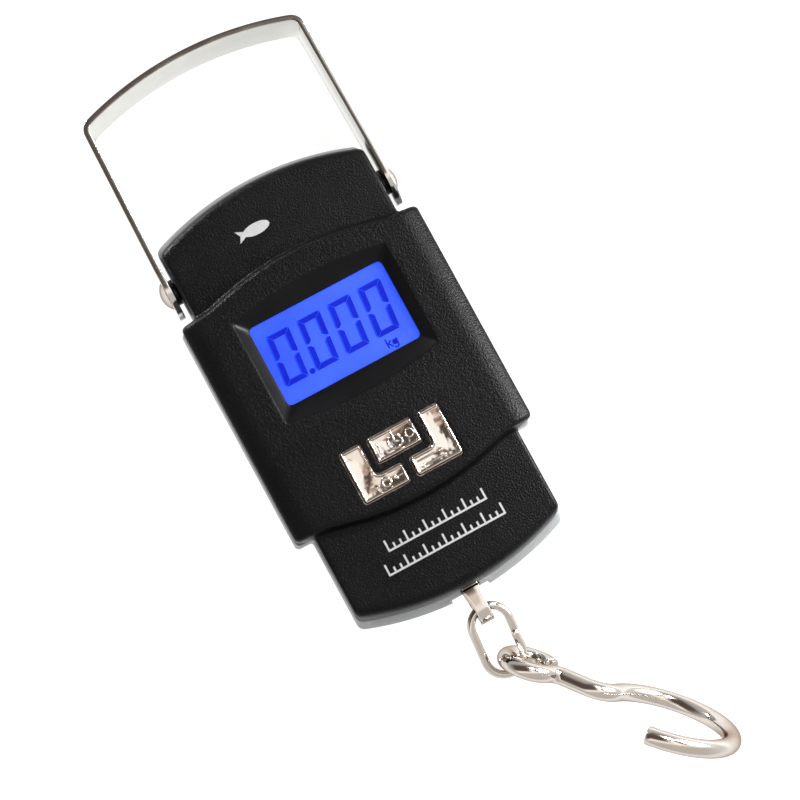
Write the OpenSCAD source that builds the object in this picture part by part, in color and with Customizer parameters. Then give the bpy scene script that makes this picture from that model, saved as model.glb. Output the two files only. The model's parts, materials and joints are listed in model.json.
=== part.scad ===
// Digital fish scale: a moulded body with a display and three push buttons, a
// swinging flat bail at the top, and a stem, oval link and hook at the bottom.
// It lies on its back. X is across the body, Y runs towards the bail, Z is up
// through the display. The origin is on the back face, at the middle of the
// raised section.

/* [Body] */
// Width of the raised middle section
body_w = 65.5; // [62:0.5:70]
// Length of the straight sides of the raised section
bulge_len = 60; // [56:0.5:62]
// How far the raised section's curved ends stand beyond its sides
bulge_rise = 4.1; // [3:0.1:4.2]
// Width of the upper and lower sections
neck_w = 56.6; // [54:0.2:60]
// Middle to the upper section's corners
neck_top = 50.1; // [48:0.1:52]
// Middle to the lower section's corners
neck_bottom = 53.4; // [52:0.1:55]
// Rise of the curved ends of the upper and lower sections
neck_rise = 5.5; // [4:0.1:6]
// Overall thickness at the raised section
body_t = 25; // [25:0.5:27]
// Height of the joint line between the two shells
joint_z = 13; // [13:0.5:14]
// Height of the face of the upper and lower sections
neck_z = 20.5; // [20:0.1:21]
// Wall thickness of the shells
wall = 2; // [1.8:0.1:2.2]
// How far the back shell stands out at the sides
side_band = 0.6; // [0.4:0.1:0.8]
// How far the back shell stands out at the curved ends
end_band = 2.1; // [1.5:0.1:2.3]

/* [Display] */
// Width of the visible display
view_w = 36.9; // [34:0.1:38]
// Height of the visible display
view_h = 21.6; // [20:0.1:22]
// Middle of the display along Y
view_y = 11.2; // [11:0.1:11.4]
// Height of the display surface
view_z = 22.6; // [22.4:0.1:22.8]

/* [Buttons] */
// Height of the button faces
button_z = 25.6; // [25.4:0.1:26]
// Gap round each button
button_gap = 0.3; // [0.2:0.05:0.4]
// Travel of a button
button_travel = 0.4; // [0.3:0.05:0.45]

/* [Bail] */
// Height of the load axis: bail pivots, load cell and stem
load_z = 10.5; // [10.4:0.1:10.6]
// Pivot line along Y
pivot_y = 40.5; // [40:0.1:41]
// Outside width of the bail
bail_w = 63.2; // [63:0.1:64]
// Top of the bail along Y
bail_top = 92.5; // [90:0.1:96]
// Rise of the bail's arched top
bail_rise = 4.4; // [3:0.1:5]
// Thickness of the bail's strip
bail_t = 1.5; // [1.3:0.1:1.5]
// Width of the bail's strip
bail_strip = 16; // [14:0.5:16]

/* [Stem, link and hook] */
// Cross hole of the stem along Y
hole_y = -65.1; // [-66:0.1:-65]
// Wire diameter of the link
link_wire = 2.1; // [2:0.1:2.4]
// Wire diameter of the hook
hook_wire = 4.5; // [4:0.1:4.6]
// Radius of the hook's bend, to the middle of the wire
bend_r = 16.3; // [16.1:0.1:16.5]

/* [Hidden] */

eps = 0.01;
round_fn = 64;
arc_steps = 24;

// Outlines
bulge_y = bulge_len / 2;
shoulder = 8;                     // straight part of the raised section's ends
neck_half = neck_w / 2;
band_half = neck_half + side_band;
bezel_half = 21.55;               // outer edge of the sunk display bezel
bezel_top = 25;
bezel_bottom = -3.4;
bezel_bow = 2.6;
side_fall = 5.25;                 // width of the rounded-down sides of the raised section
side_drop = 2.4;                  // how far those sides come down
inner_rise = 2.5;                 // bow of the raised section's inner walls
neck_drop = 1.2;                  // rounding of the upper and lower sections

rim_half = 23.4;                  // thick rim round the display
rim_y = [-4.2, 26.6];
window_half = 19.8;
window_h = 24.4;
seat_gap = 0.2;
skin_t = 0.2;                     // skin in front of the window's edge
lcd_half = 20.5;
lcd_reach = 13;                   // middle of the display to the glass's edges
lcd_top = 1.3;                    // the glass and its lower sheet, below view_z
lcd_step = 2.35;
lcd_base = 3.4;

// Buttons: an oblong between two L shapes that mirror each other
key_top = -15.9;
key_bottom = -29.6;
bar_half = 5.95;
bar_bottom = -22.35;
ell_in = 1.15;
ell_out = 13.5;
ell_arm_w = 5.5;
ell_foot_h = 4.9;
flange_z = 22.15;
flange_t = 0.8;
flange_lip = 0.5;
key_rim = 0.7;
key_sink = 0.6;                  // the face lies this far below its rim
lip_room_half = 14.9;
lip_room_y = -30.9;
switch_half = 3;
switch_t = 3;
switch_hole_r = 1.6;
plunger_r = 1.5;
switch_xy = [[0, -19.1], [-10, -25.6], [10, -25.6]];

// Inside
board_z = 16.6;
board_t = 1.2;
cell_half = 11.6;
cell_y = [6, 34];
cell_t = 10;
slot_w = 1.6;
cell_end = 8;                     // the S-shaped cell's end bars and side columns
cell_side = 4.5;
gauge_bore_r = 3.8;
bolt_r = 2.5;
bolt_head_r = 4.2;
well_x = 18.5;
well_half = 5.6;
well_y = [-30.6, 20.1];
well_top = 13.1;
aaa_r = 5.2;
aaa_len = 44.5;
aaa_z = 7.4;
tab_z = 14.8;                     // top of the contacts' solder tabs
door_half = 26;
door_y = [-33.4, 22.6];
door_t = 1.5;
door_gap = 0.15;
scoop_r = 6.6;
scoop_z = -5;
notch_half = 2.6;                 // notch in the back shell that the stem passes
notch_d = 3;
notch_y = [-66, -50];
step_half = 5.4;                  // shallow step in the back shell's rim round the stem
step_y = -60;
grip_half = 8;                    // grip lines of the door
grip_w = 0.7;
grip_step = 1.6;
shell_screw_xy = [[-20.4, 47.2], [20.4, 47.2], [-20.4, -47.5], [20.4, -47.5]];
board_screw_xy = [[-24.2, 24.5], [24.2, 24.5], [-24.2, -26.6], [24.2, -26.6]];
board_half = 26.2;
board_y = [-30.4, 27.4];
boss_z = 17.8;
board_corner = [25, -28.2];
board_hole_r = 1.15;
board_boss_r = 2.3;
board_screw_r = 0.95;
board_screw_top = 21.5;
board_head_r = 1.9;
shell_screw_r = 1.2;
shell_screw_top = 17;
front_boss_r = 3;
back_boss_r = 3.6;
screw_head_r = 2.4;
screw_seat = 3;                   // depth of the screws' counterbores
counterbore_r = 2.6;
recess = [1.6, 0.3];              // half length and half width of the cross recess

// Bail pivots
ear_x = 26.1;
ear_t = 2;
ear_r = 5;
collar_r = 3.4;
inner_head_r = 3.2;
inner_head_x = ear_x - 3.8;
washer_x = ear_x - 2.6;
rivet_r = 1.8;
bush_r = 2.2;
bush_gap = 0.04;
run_gap = 0.06;                   // radial clearance of a running fit
bail_corner = 3.8;
bail_lean = 0.7;                  // the legs lean in by this much from here to the corners
lean_y = 47;
leg_end_y = pivot_y + 1;          // middle of the legs' round ends
dome_r = 3.75;
dome_h = 1.6;

// Stem, link and hook
stem_w = 3.6;
stem_r = 1.9;
stem_d = 7.6;
hole_r = 2;
blade_y = -61.2;                  // the stem is flat from here to its hole
collar_y = [-59.4, -52];          // and widest here, outside the load cell's end
collar_half = 2.4;
collar_h = 2.2;
link_r = 4.94;                    // radius of the link's round ends, to the wire's middle
link_straight = 8.3;
link_slope = 12.2;                  // the link drops from the stem towards the eye
link_turn = -4;
link_x = 0.6;
eye_r = 6.15;
hook_at = [24.9, -108.9, 21.8];   // middle of the hook's bend
hook_tilt = [107.8, 0.4, -43.5];  // turns the hook's flat plane into place
eye_at = [-32.7, -14.6];          // middle of the eye, in the hook's plane
// The hook's wire from the eye's closed end to the tip: [turn in degrees, radius],
// or [0, length] for a straight
hook_path = [[-293, eye_r], [75, 3.6], [0, 6.05], [-76, 6.23], [251, bend_r]];
hook_start = -25;                 // where round the eye the wire starts

// Points on an arc
function arc(c, r, a0, a1, n = arc_steps) =
    [for (i = [0:n]) c + r * [cos(a0 + (a1 - a0) * i / n), sin(a0 + (a1 - a0) * i / n)]];

// Radius of an arc with a half chord and a rise
function arc_radius(half, rise) = (half * half + rise * rise) / (2 * rise);

// Body outline with straight sides and arched ends
function arched(half, top, bottom, rise) =
    let (r = arc_radius(half, rise), a = asin(half / r))
    concat(arc([0, top + rise - r], r, 90 - a, 90 + a),
           arc([0, r - bottom - rise], r, 270 - a, 270 + a));

// Outline of the raised section: square shoulders, then an arched end
function bulge_end(half) =
    let (h = half - shoulder, r = arc_radius(h, bulge_rise), a = asin(h / r))
    arc([0, bulge_y + bulge_rise - r], r, 90 - a, 90 + a);

function bulge_outline(half) = concat(
    [[half, -bulge_y], [half, bulge_y]],
    bulge_end(half),
    [[-half, bulge_y], [-half, -bulge_y]],
    [for (p = bulge_end(half)) -p]);

function bezel_outline() =
    let (r = arc_radius(bezel_half, bezel_bow), a = asin(bezel_half / r))
    concat(arc([0, bezel_top + bezel_bow - r], r, 90 - a, 90 + a, 12),
           arc([0, bezel_bottom - bezel_bow + r], r, 270 - a, 270 + a, 12));

module slab(z0, z1, points) {
    translate([0, 0, z0]) linear_extrude(z1 - z0) polygon(points);
}

module box(x, y, z) {
    translate([x[0], y[0], z[0]]) cube([x[1] - x[0], y[1] - y[0], z[1] - z[0]]);
}

module post(xy, z0, z1, r) {
    translate([xy[0], xy[1], z0]) cylinder(h = z1 - z0, r = r, $fn = round_fn);
}

// A round bar along X
module cross_bar(x0, x1, y, z, r) {
    translate([x0, y, z]) rotate([0, 90, 0]) cylinder(h = x1 - x0, r = r, $fn = round_fn);
}

// A round bar along Y
module long_bar(x, y0, y1, z, r) {
    translate([x, y1, z]) rotate([90, 0, 0]) cylinder(h = y1 - y0, r = r, $fn = round_fn);
}

module sides() {
    children();
    mirror([1, 0, 0]) children();
}

// --- Shells ---

// Upper and lower sections, drawn in by inset all round
module neck_solid(inset, z0, z1) {
    outer = arched(neck_half - inset, neck_top - inset, neck_bottom - inset, neck_rise);
    face = arched(neck_half - inset - neck_drop, neck_top - inset - neck_drop,
        neck_bottom - inset - neck_drop, neck_rise);
    hull() {
        slab(z0, z1 - neck_drop, outer);
        slab(z1 - eps, z1, face);
    }
}

// Raised section, whose sides are rounded down
module bulge_solid(inset, z0, z1) {
    half = body_w / 2 - inset;
    intersection() {
        slab(z0, z1, inset == 0 ? bulge_outline(half) : arched(half, bulge_y - inset,
            bulge_y - inset, inner_rise));
        translate([0, 50, 0]) rotate([90, 0, 0]) linear_extrude(100) polygon([
            [-half, z0], [half, z0], [half, z1 - side_drop],
            [half - 0.35 * side_fall, z1 - 0.42 * side_drop],
            [half - 0.65 * side_fall, z1 - 0.12 * side_drop], [half - side_fall, z1],
            [side_fall - half, z1], [0.65 * side_fall - half, z1 - 0.12 * side_drop],
            [0.35 * side_fall - half, z1 - 0.42 * side_drop], [-half, z1 - side_drop]]);
    }
}

module bezel_cut() {
    hull() {
        slab(body_t, body_t + 1, bezel_outline());
        box([-view_w / 2, view_w / 2], [view_y - view_h / 2, view_y + view_h / 2],
            [view_z, view_z + eps]);
    }
    box([-view_w / 2, view_w / 2], [view_y - view_h / 2, view_y + view_h / 2], [20, view_z + 1]);
}

// Button shapes, grown by grow all round
module bar_shape(grow = 0) {
    translate([-bar_half - grow, bar_bottom - grow])
        square([2 * (bar_half + grow), key_top - bar_bottom + 2 * grow]);
}

module ell_shape(side, grow = 0) {
    mirror([side > 0 ? 1 : 0, 0, 0]) {
        translate([-ell_out - grow, key_bottom - grow])
            square([ell_arm_w + 2 * grow, key_top - key_bottom + 2 * grow]);
        translate([-ell_out - grow, key_bottom - grow])
            square([ell_out - ell_in + 2 * grow, ell_foot_h + 2 * grow]);
    }
}

module button_cuts() {
    translate([0, 0, 20]) linear_extrude(8) {
        bar_shape(button_gap);
        ell_shape(-1, button_gap);
        ell_shape(1, button_gap);
    }
}

module front_shell() {
    color([0.05, 0.05, 0.055]) difference() {
        union() {
            difference() {
                union() {
                    neck_solid(0, joint_z, neck_z);
                    bulge_solid(0, joint_z, body_t);
                }
                neck_solid(wall, joint_z - 1, neck_z - wall);
                bulge_solid(wall, joint_z - 1, body_t - wall);
            }
            // thick rim round the display
            box([-rim_half, rim_half], rim_y, [view_z - 1.2, body_t - wall + 0.5]);
            for (p = shell_screw_xy) post(p, joint_z, neck_z - 1, front_boss_r);
            for (p = board_screw_xy) post(p, boss_z, body_t - 1, board_boss_r);
        }
        bezel_cut();
        button_cuts();
        // room for the lips of the two L-shaped buttons
        box([-lip_room_half, lip_room_half], [lip_room_y, key_top],
            [neck_z - wall - eps, body_t - wall]);
        // seat of the display window
        box([-window_half - seat_gap, window_half + seat_gap],
            [view_y - window_h / 2 - seat_gap, view_y + window_h / 2 + seat_gap],
            [view_z - 2, view_z - skin_t]);
        for (p = shell_screw_xy) post(p, joint_z - 1, shell_screw_top + 0.6, shell_screw_r + 0.05);
        for (p = board_screw_xy) post(p, boss_z - 1, board_screw_top + 0.5, board_screw_r + 0.05);
    }
}

module band_solid(inset, z0) {
    joint = arched(neck_half + 0.2 - inset, neck_top + 0.2 - inset, neck_bottom + 0.2 - inset,
        neck_rise);
    wide = arched(band_half - inset, neck_top + end_band - inset, neck_bottom + end_band - inset,
        neck_rise);
    low = arched(band_half - 1.6 - inset, neck_top + 0.4 - inset, neck_bottom + 0.4 - inset,
        neck_rise);
    hull() {
        slab(joint_z - eps, joint_z, joint);
        slab(4, 8, wide);
        slab(z0, z0 + eps, low);
    }
}

module band_middle(inset, z0) {
    half = body_w / 2 + side_band - inset;
    hull() {
        box([-half + side_band, half - side_band], [-bulge_y - 0.2 + inset, bulge_y + 0.2 - inset],
            [joint_z - eps, joint_z]);
        box([-half, half], [-bulge_y - 0.6 + inset, bulge_y + 0.6 - inset], [4, 8]);
        box([-half + 1.6, half - 1.6], [-bulge_y + 0.6 + inset, bulge_y - 0.6 - inset],
            [z0, z0 + eps]);
    }
}

module wells(grow, z0, z1) {
    sides() box([well_x - well_half - grow, well_x + well_half + grow],
        [well_y[0] - grow, well_y[1] + grow], [z0, z1]);
}

module back_shell() {
    color([0.62, 0.64, 0.65]) difference() {
        union() {
            difference() {
                union() {
                    band_solid(0, 0);
                    band_middle(0, 0);
                }
                band_solid(wall, wall);
                band_middle(wall, wall);
                slab(joint_z - 1, joint_z + 1, arched(neck_half - wall, neck_top - wall,
                    neck_bottom - wall, neck_rise));
            }
            wells(0.9, 0, well_top + 0.9);
            box([-27, 27], [door_y[0] - 1.6, door_y[1] + 1.6], [0, 3]);
            for (p = shell_screw_xy) post(p, 1, joint_z, back_boss_r);
        }
        wells(0, -1, well_top);
        // slots for the contacts' solder tabs
        sides() box([well_x - 1, well_x + 1], [well_y[1] - 0.7, well_y[1]], [well_top - 1, 15]);
        // pocket of the battery door
        box([-door_half - door_gap, door_half + door_gap],
            [door_y[0] - door_gap, door_y[1] + door_gap], [-1, door_t + 0.1]);
        // finger scoop at the door's latch
        translate([0, door_y[0] - 1, scoop_z]) sphere(r = scoop_r, $fn = round_fn);
        for (p = shell_screw_xy) {
            post(p, -1, screw_seat, counterbore_r);
            post(p, -1, joint_z + 1, shell_screw_r + 0.3);
        }
        // pivot holes and the stem's notch
        sides() cross_bar(neck_half - 4, neck_half + 4, pivot_y, load_z, bush_r + bush_gap);
        box([-notch_half, notch_half], notch_y, [load_z - notch_d, joint_z + 1]);
        box([-step_half, step_half], [notch_y[0], step_y], [-1, joint_z + 1]);
    }
}

module battery_door() {
    color([0.62, 0.64, 0.65]) difference() {
        union() {
            box([-door_half, door_half], door_y, [0, door_t]);
            // foam-backed ribs that press on the cells
            sides() box([well_x - 3, well_x + 3], [-14, 2], [door_t, aaa_z - aaa_r - 0.1]);
        }
        // grip lines at the latch end
        for (i = [0:4]) let (y = door_y[0] + 3 + grip_step * i)
            box([-grip_half, grip_half], [y, y + grip_w], [-1, 0.4]);
    }
}

// --- Display ---

module display_window() {
    color([0.7, 0.8, 0.9, 0.4])
        box([-window_half, window_half], [view_y - window_h / 2, view_y + window_h / 2],
            [view_z - 1.2, view_z - skin_t]);
}

module lcd_glass() {
    color([0.15, 0.3, 0.9]) {
        box([-lcd_half, lcd_half], [view_y - lcd_reach, view_y + lcd_reach],
            [view_z - lcd_base, view_z - lcd_step]);
        box([-lcd_half, lcd_half], [view_y - lcd_reach + 1.6, view_y + lcd_reach],
            [view_z - lcd_step, view_z - lcd_top]);
    }
}

module backlight_panel() {
    color([0.85, 0.9, 1])
        box([0.3 - lcd_half, lcd_half - 0.3], [view_y - 11, view_y + 11],
            [board_z + board_t, view_z - lcd_base]);
}

module lcd_frame() {
    color([0.9, 0.9, 0.88]) difference() {
        box([-lcd_half - 1.1, lcd_half + 1.1], [view_y - lcd_reach - 1.9,
            view_y + lcd_reach + 1.9], [board_z + board_t, view_z - lcd_top + 0.05]);
        box([-lcd_half - 0.05, lcd_half + 0.05], [view_y - lcd_reach - 0.05,
            view_y + lcd_reach + 0.05], [board_z, view_z]);
    }
}

module backlight_leds() {
    color([0.95, 0.95, 0.7]) for (y = [view_y - 4, view_y + 4])
        box([lcd_half - 0.28, lcd_half + 0.03], [y - 1.5, y + 1.5],
            [board_z + board_t, board_z + board_t + 1]);
}

module zebra_strips() {
    color([0.85, 0.4, 0.55]) for (s = [-1, 1])
        box([-19, 19], [view_y + s * 12 - 0.7, view_y + s * 12 + 0.7],
            [board_z + board_t, view_z - lcd_base]);
}

// --- Electronics ---

module circuit_board() {
    color([0.05, 0.35, 0.15]) difference() {
        box([-board_half, board_half], board_y, [board_z, board_z + board_t]);
        for (p = board_screw_xy) post(p, board_z - 1, board_z + 3, board_hole_r);
        // corners cut back to clear the lower section
        sides() box([board_corner[0], board_half + 1], [board_y[0] - 1, board_corner[1]],
            [board_z - 1, board_z + 3]);
    }
}

module controller_chip() {
    color([0.04, 0.04, 0.04]) translate([0, -9.3, board_z + board_t])
        intersection() {
            scale([1, 1, 0.3]) sphere(r = 5, $fn = round_fn);
            cylinder(h = 2, r = 6, $fn = round_fn);
        }
}

module board_components() {
    z = board_z + board_t;
    color([0.75, 0.65, 0.45]) {
        for (x = [-18, -15, 13, 16, 19]) box([x - 0.6, x + 0.6], [-10.5, -8.5], [z, z + 0.8]);
        for (x = [-20, 20]) post([x, -14], z, z + 4, 2);
        box([-13, -9], [-13.6, -12], [z, z + 1.4]);
        box([9, 12], [-13.6, -12], [z, z + 1.1]);
    }
}

module switch_bodies() {
    z = board_z + board_t;
    color([0.2, 0.2, 0.2]) difference() {
        for (p = switch_xy) box([p[0] - switch_half, p[0] + switch_half],
            [p[1] - switch_half, p[1] + switch_half], [z, z + switch_t]);
        for (p = switch_xy) post(p, z + 2 - button_travel, z + 4, switch_hole_r);
    }
}

module plunger(i) {
    z = board_z + board_t;
    color([0.85, 0.8, 0.7]) post(switch_xy[i], z + 2.1, flange_z, plunger_r);
}

// A plated cap with a raised rim, and a lip that keeps it behind the shell. Its
// children are the outline, the sunk face inside the rim and the lip.
module key() {
    color([0.78, 0.76, 0.72]) {
        difference() {
            translate([0, 0, flange_z]) linear_extrude(button_z - flange_z) children(0);
            translate([0, 0, button_z - key_sink]) linear_extrude(1) children(1);
        }
        translate([0, 0, flange_z]) linear_extrude(flange_t) children(2);
    }
}

module power_button() {
    key() {
        bar_shape();
        bar_shape(-key_rim);
        bar_shape(button_gap + flange_lip);
    }
}

module ell_button(side) {
    key() {
        ell_shape(side);
        ell_shape(side, -key_rim);
        ell_shape(side, button_gap + flange_lip);
    }
}

module tare_button() {
    ell_button(-1);
}

module unit_button() {
    ell_button(1);
}

module power_plunger() {
    plunger(0);
}

module tare_plunger() {
    plunger(1);
}

module unit_plunger() {
    plunger(2);
}

// --- Load path ---

module load_cell() {
    mid = (cell_y[0] + cell_y[1]) / 2;
    color([0.75, 0.76, 0.78]) difference() {
        box([-cell_half, cell_half], cell_y, [load_z - cell_t / 2, load_z + cell_t / 2]);
        box([cell_side - cell_half, cell_half + 1],
            [cell_y[0] + cell_end, cell_y[0] + cell_end + slot_w], [0, 20]);
        box([-cell_half - 1, cell_half - cell_side],
            [cell_y[1] - cell_end - slot_w, cell_y[1] - cell_end], [0, 20]);
        for (s = [-1, 1]) translate([0, mid, load_z + s * 4])
            cylinder(h = 5.6, r = gauge_bore_r, center = true, $fn = round_fn);
        long_bar(0, cell_y[0] - 1, cell_y[0] + 6.5, load_z, stem_r);
        long_bar(0, cell_y[1] - 6.5, cell_y[1] + 1, load_z, bolt_r);
    }
}

module strain_gauges() {
    mid = (cell_y[0] + cell_y[1]) / 2;
    color([0.85, 0.6, 0.25]) {
        box([-2, 2], [mid - 2, mid + 2], [load_z + 1.2, load_z + 1.3]);
        box([-2, 2], [mid - 2, mid + 2], [load_z - 1.3, load_z - 1.2]);
    }
}

module gauge_sealant() {
    mid = (cell_y[0] + cell_y[1]) / 2;
    color([0.92, 0.92, 0.9]) {
        post([0, mid], load_z + 1.3, load_z + 3.2, gauge_bore_r);
        post([0, mid], load_z - 3.2, load_z - 1.3, gauge_bore_r);
    }
}

module hanger_bracket() {
    color([0.7, 0.71, 0.73]) difference() {
        union() {
            box([-ear_x, ear_x], [cell_y[1], cell_y[1] + ear_t], [load_z - ear_r, load_z + ear_r]);
            sides() box([ear_x - ear_t, ear_x], [cell_y[1], pivot_y + 0.5],
                [load_z - ear_r, load_z + ear_r]);
            sides() cross_bar(ear_x - ear_t, ear_x, pivot_y + 0.5, load_z, ear_r);
        }
        sides() cross_bar(ear_x - 3, ear_x + 1, pivot_y, load_z, rivet_r);
        long_bar(0, cell_y[1] - 1, cell_y[1] + 3, load_z, bolt_r + 0.2);
    }
}

module bracket_bolt() {
    color([0.6, 0.6, 0.62]) {
        long_bar(0, cell_y[1] - 6, cell_y[1] + ear_t, load_z, bolt_r);
        difference() {
            long_bar(0, cell_y[1] + ear_t, cell_y[1] + ear_t + 3, load_z, bolt_head_r);
            translate([0, cell_y[1] + 6, load_z]) rotate([90, 0, 0])
                cylinder(h = 3, r = 2.3, $fn = 6);
        }
    }
}

module hook_stem() {
    color([0.74, 0.72, 0.69]) difference() {
        union() {
            long_bar(0, collar_y[1], cell_y[0] + 6, load_z, stem_r);
            box([-collar_half, collar_half], collar_y, [load_z - collar_h, load_z + collar_h]);
            // tapered part: wide and low at the collar, narrow and tall at the blade
            hull() {
                box([-collar_half, collar_half], [collar_y[0], collar_y[0] + eps],
                    [load_z - collar_h, load_z + collar_h]);
                box([-stem_w / 2, stem_w / 2], [blade_y - eps, blade_y],
                    [load_z - stem_d / 2 + 0.4, load_z + stem_d / 2 - 0.4]);
            }
            box([-stem_w / 2, stem_w / 2], [hole_y, blade_y],
                [load_z - stem_d / 2, load_z + stem_d / 2]);
            cross_bar(-stem_w / 2, stem_w / 2, hole_y, load_z, stem_d / 2);
        }
        cross_bar(-4, 4, hole_y, load_z, hole_r);
    }
}

module stem_nut() {
    color([0.7, 0.68, 0.6]) difference() {
        translate([0, cell_y[0], load_z]) rotate([90, 0, 0]) cylinder(h = 4, r = 4.6, $fn = 6);
        long_bar(0, cell_y[0] - 5, cell_y[0] + 1, load_z, stem_r);
    }
}

// Outline of the bail seen from the front, drawn in by inset
function bail_line(inset) =
    let (half = bail_w / 2 - inset, corner = bail_corner - inset,
        chord = half - bail_lean - corner,
        r = arc_radius(bail_w / 2 - bail_corner, bail_rise) - inset,
        a = asin(chord / (r - corner)),
        mid = bail_top - inset - r,
        knee = mid + (r - corner) * cos(a))
    concat([[half, 20], [half, lean_y]],
        arc([chord, knee], corner, 0, 90 - a, 10),
        arc([0, mid], r, 90 - a, 90 + a),
        arc([-chord, knee], corner, 90 + a, 180, 10),
        [[-half, lean_y], [-half, 20]]);

module bail() {
    color([0.78, 0.77, 0.74]) difference() {
        intersection() {
            translate([0, 0, load_z - bail_strip / 2]) linear_extrude(bail_strip) difference() {
                polygon(bail_line(0));
                polygon(bail_line(bail_t));
            }
            union() {
                box([-40, 40], [leg_end_y, 100], [0, 30]);
                cross_bar(-40, 40, leg_end_y, load_z, bail_strip / 2);
            }
        }
        cross_bar(-40, 40, pivot_y, load_z, rivet_r + run_gap);
    }
}

// A rivet turned about its own axis: inner head, shank and dome
module bail_rivets() {
    seat = bail_w / 2 + 0.1;
    r = arc_radius(dome_r, dome_h);
    edge = asin(dome_r / r);
    color([0.85, 0.84, 0.8]) sides() translate([0, pivot_y, load_z]) rotate([0, 90, 0])
        rotate_extrude($fn = round_fn) polygon(concat(
            [[0, inner_head_x], [inner_head_r, inner_head_x], [inner_head_r, washer_x],
                [rivet_r, washer_x], [rivet_r, seat]],
            [for (i = [0:8]) let (a = edge * (1 - i / 8)) [r * sin(a), seat + dome_h - r
                + r * cos(a)]]));
}

module pivot_bushes() {
    color([0.06, 0.06, 0.06]) sides() difference() {
        union() {
            cross_bar(ear_x, bail_w / 2 - bail_t - 0.05, pivot_y, load_z, bush_r);
            cross_bar(band_half + 0.05, bail_w / 2 - bail_t - 0.05, pivot_y, load_z, collar_r);
        }
        cross_bar(ear_x - 1, bail_w / 2, pivot_y, load_z, rivet_r);
    }
}

module rivet_washers() {
    color([0.7, 0.7, 0.7]) sides() difference() {
        cross_bar(washer_x, ear_x - ear_t, pivot_y, load_z, inner_head_r + 0.4);
        cross_bar(ear_x - 3, ear_x - 1, pivot_y, load_z, rivet_r);
    }
}

// Points along a flat path of [turn, radius] bends and [0, length] straights
function follow(path, at, head, i = 0) = i == len(path) ? [at] :
    let (turn = path[i][0], size = path[i][1], s = sign(turn), n = ceil(abs(turn) / 8),
        c = at + s * size * [-sin(head), cos(head)])
    turn == 0 ? concat([at], follow(path, at + size * [cos(head), sin(head)], head, i + 1)) :
    concat([for (k = [0:n - 1]) let (a = head + turn * k / n) c + s * size * [sin(a), -cos(a)]],
        follow(path, c + s * size * [sin(head + turn), -cos(head + turn)], head + turn, i + 1));

// A round wire swept along points; up is never along the wire
module sweep(points, r, sides, up) {
    n = len(points) - 1;
    dirs = [for (i = [0:n]) let (d = points[min(i + 1, n)] - points[max(i - 1, 0)]) d / norm(d)];
    rings = [for (i = [0:n]) let (u = cross(dirs[i], up) / norm(cross(dirs[i], up)),
        v = cross(u, dirs[i])) for (k = [0:sides - 1])
            points[i] + r * (cos(360 * k / sides) * u + sin(360 * k / sides) * v)];
    faces = concat([[for (k = [0:sides - 1]) k]],
        [for (i = [0:n - 1]) for (k = [0:sides - 1]) let (j = (k + 1) % sides)
            [i * sides + j, i * sides + k, (i + 1) * sides + k, (i + 1) * sides + j]],
        [[for (k = [sides - 1:-1:0]) n * sides + k]]);
    polyhedron(rings, faces);
}

// An oval of round wire whose top hangs in the stem's hole
module chain_link() {
    mid = -link_r - link_straight / 2;
    color([0.8, 0.78, 0.75]) translate([link_x, hole_y, load_z])
        rotate([link_slope, 0, link_turn]) translate([0, mid, 0]) {
            for (a = [0, 180]) rotate([0, 0, a]) translate([0, link_straight / 2, 0])
                rotate_extrude(angle = 180, $fn = 96)
                    translate([link_r, 0]) circle(r = link_wire / 2, $fn = round_fn);
            for (x = [-link_r, link_r])
                long_bar(x, -link_straight / 2, link_straight / 2, 0, link_wire / 2);
        }
}

module hook() {
    start = eye_at + eye_r * [cos(hook_start), sin(hook_start)];
    color([0.8, 0.78, 0.75]) translate(hook_at) rotate(hook_tilt)
        sweep([for (p = follow(hook_path, start, hook_start - 90)) [p[0], p[1], 0]],
            hook_wire / 2, 12, [0, 0, 1]);
}

// --- Fasteners ---

module shell_screws() {
    color([0.3, 0.3, 0.32]) difference() {
        for (p = shell_screw_xy) {
            post(p, 1.2, screw_seat, screw_head_r);
            post(p, screw_seat, shell_screw_top, shell_screw_r);
        }
        for (p = shell_screw_xy) {
            translate(p) box([-recess[0], recess[0]], [-recess[1], recess[1]], [0, 2]);
            translate(p) box([-recess[1], recess[1]], [-recess[0], recess[0]], [0, 2]);
        }
    }
}

module board_screws() {
    color([0.7, 0.7, 0.72]) for (p = board_screw_xy) {
        post(p, board_z - 1.2, board_z, board_head_r);
        post(p, board_z, board_screw_top, board_screw_r);
    }
}

// --- Power ---

// Both cells; the second one is turned end for end
module cell_pair() {
    mid = (well_y[0] + well_y[1]) / 2;
    translate([-well_x, mid, aaa_z]) children();
    translate([well_x, mid, aaa_z]) rotate([0, 0, 180]) children();
}

module battery_cells() {
    // the positive end leans on its contact plate
    top = (well_y[1] - well_y[0]) / 2 - 0.6;
    color([0.85, 0.55, 0.1]) cell_pair() {
        long_bar(0, top - aaa_len, top - 1, 0, aaa_r);
        long_bar(0, top - 1, top, 0, 1.9);
    }
}

module battery_contacts() {
    end = (well_y[1] - well_y[0]) / 2;
    color([0.8, 0.78, 0.7]) cell_pair() {
        box([-4.6, 4.6], [end - 0.5, end - 0.1], [-4.4, 4.8]);
        box([-4.6, 4.6], [-end + 0.1, -end + 0.5], [-4.4, 4.8]);
    }
    color([0.8, 0.78, 0.7]) sides() box([well_x - 0.7, well_x + 0.7],
        [well_y[1] - 0.5, well_y[1] - 0.1], [aaa_z + 4.7, tab_z]);
}

// Points of a cone spring along Y
function spring_points(turns, r0, r1, h, n) =
    [for (i = [0:n]) let (t = i / n, a = 360 * turns * t, r = r0 + (r1 - r0) * t)
        [r * cos(a), h * t, r * sin(a)]];

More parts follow.
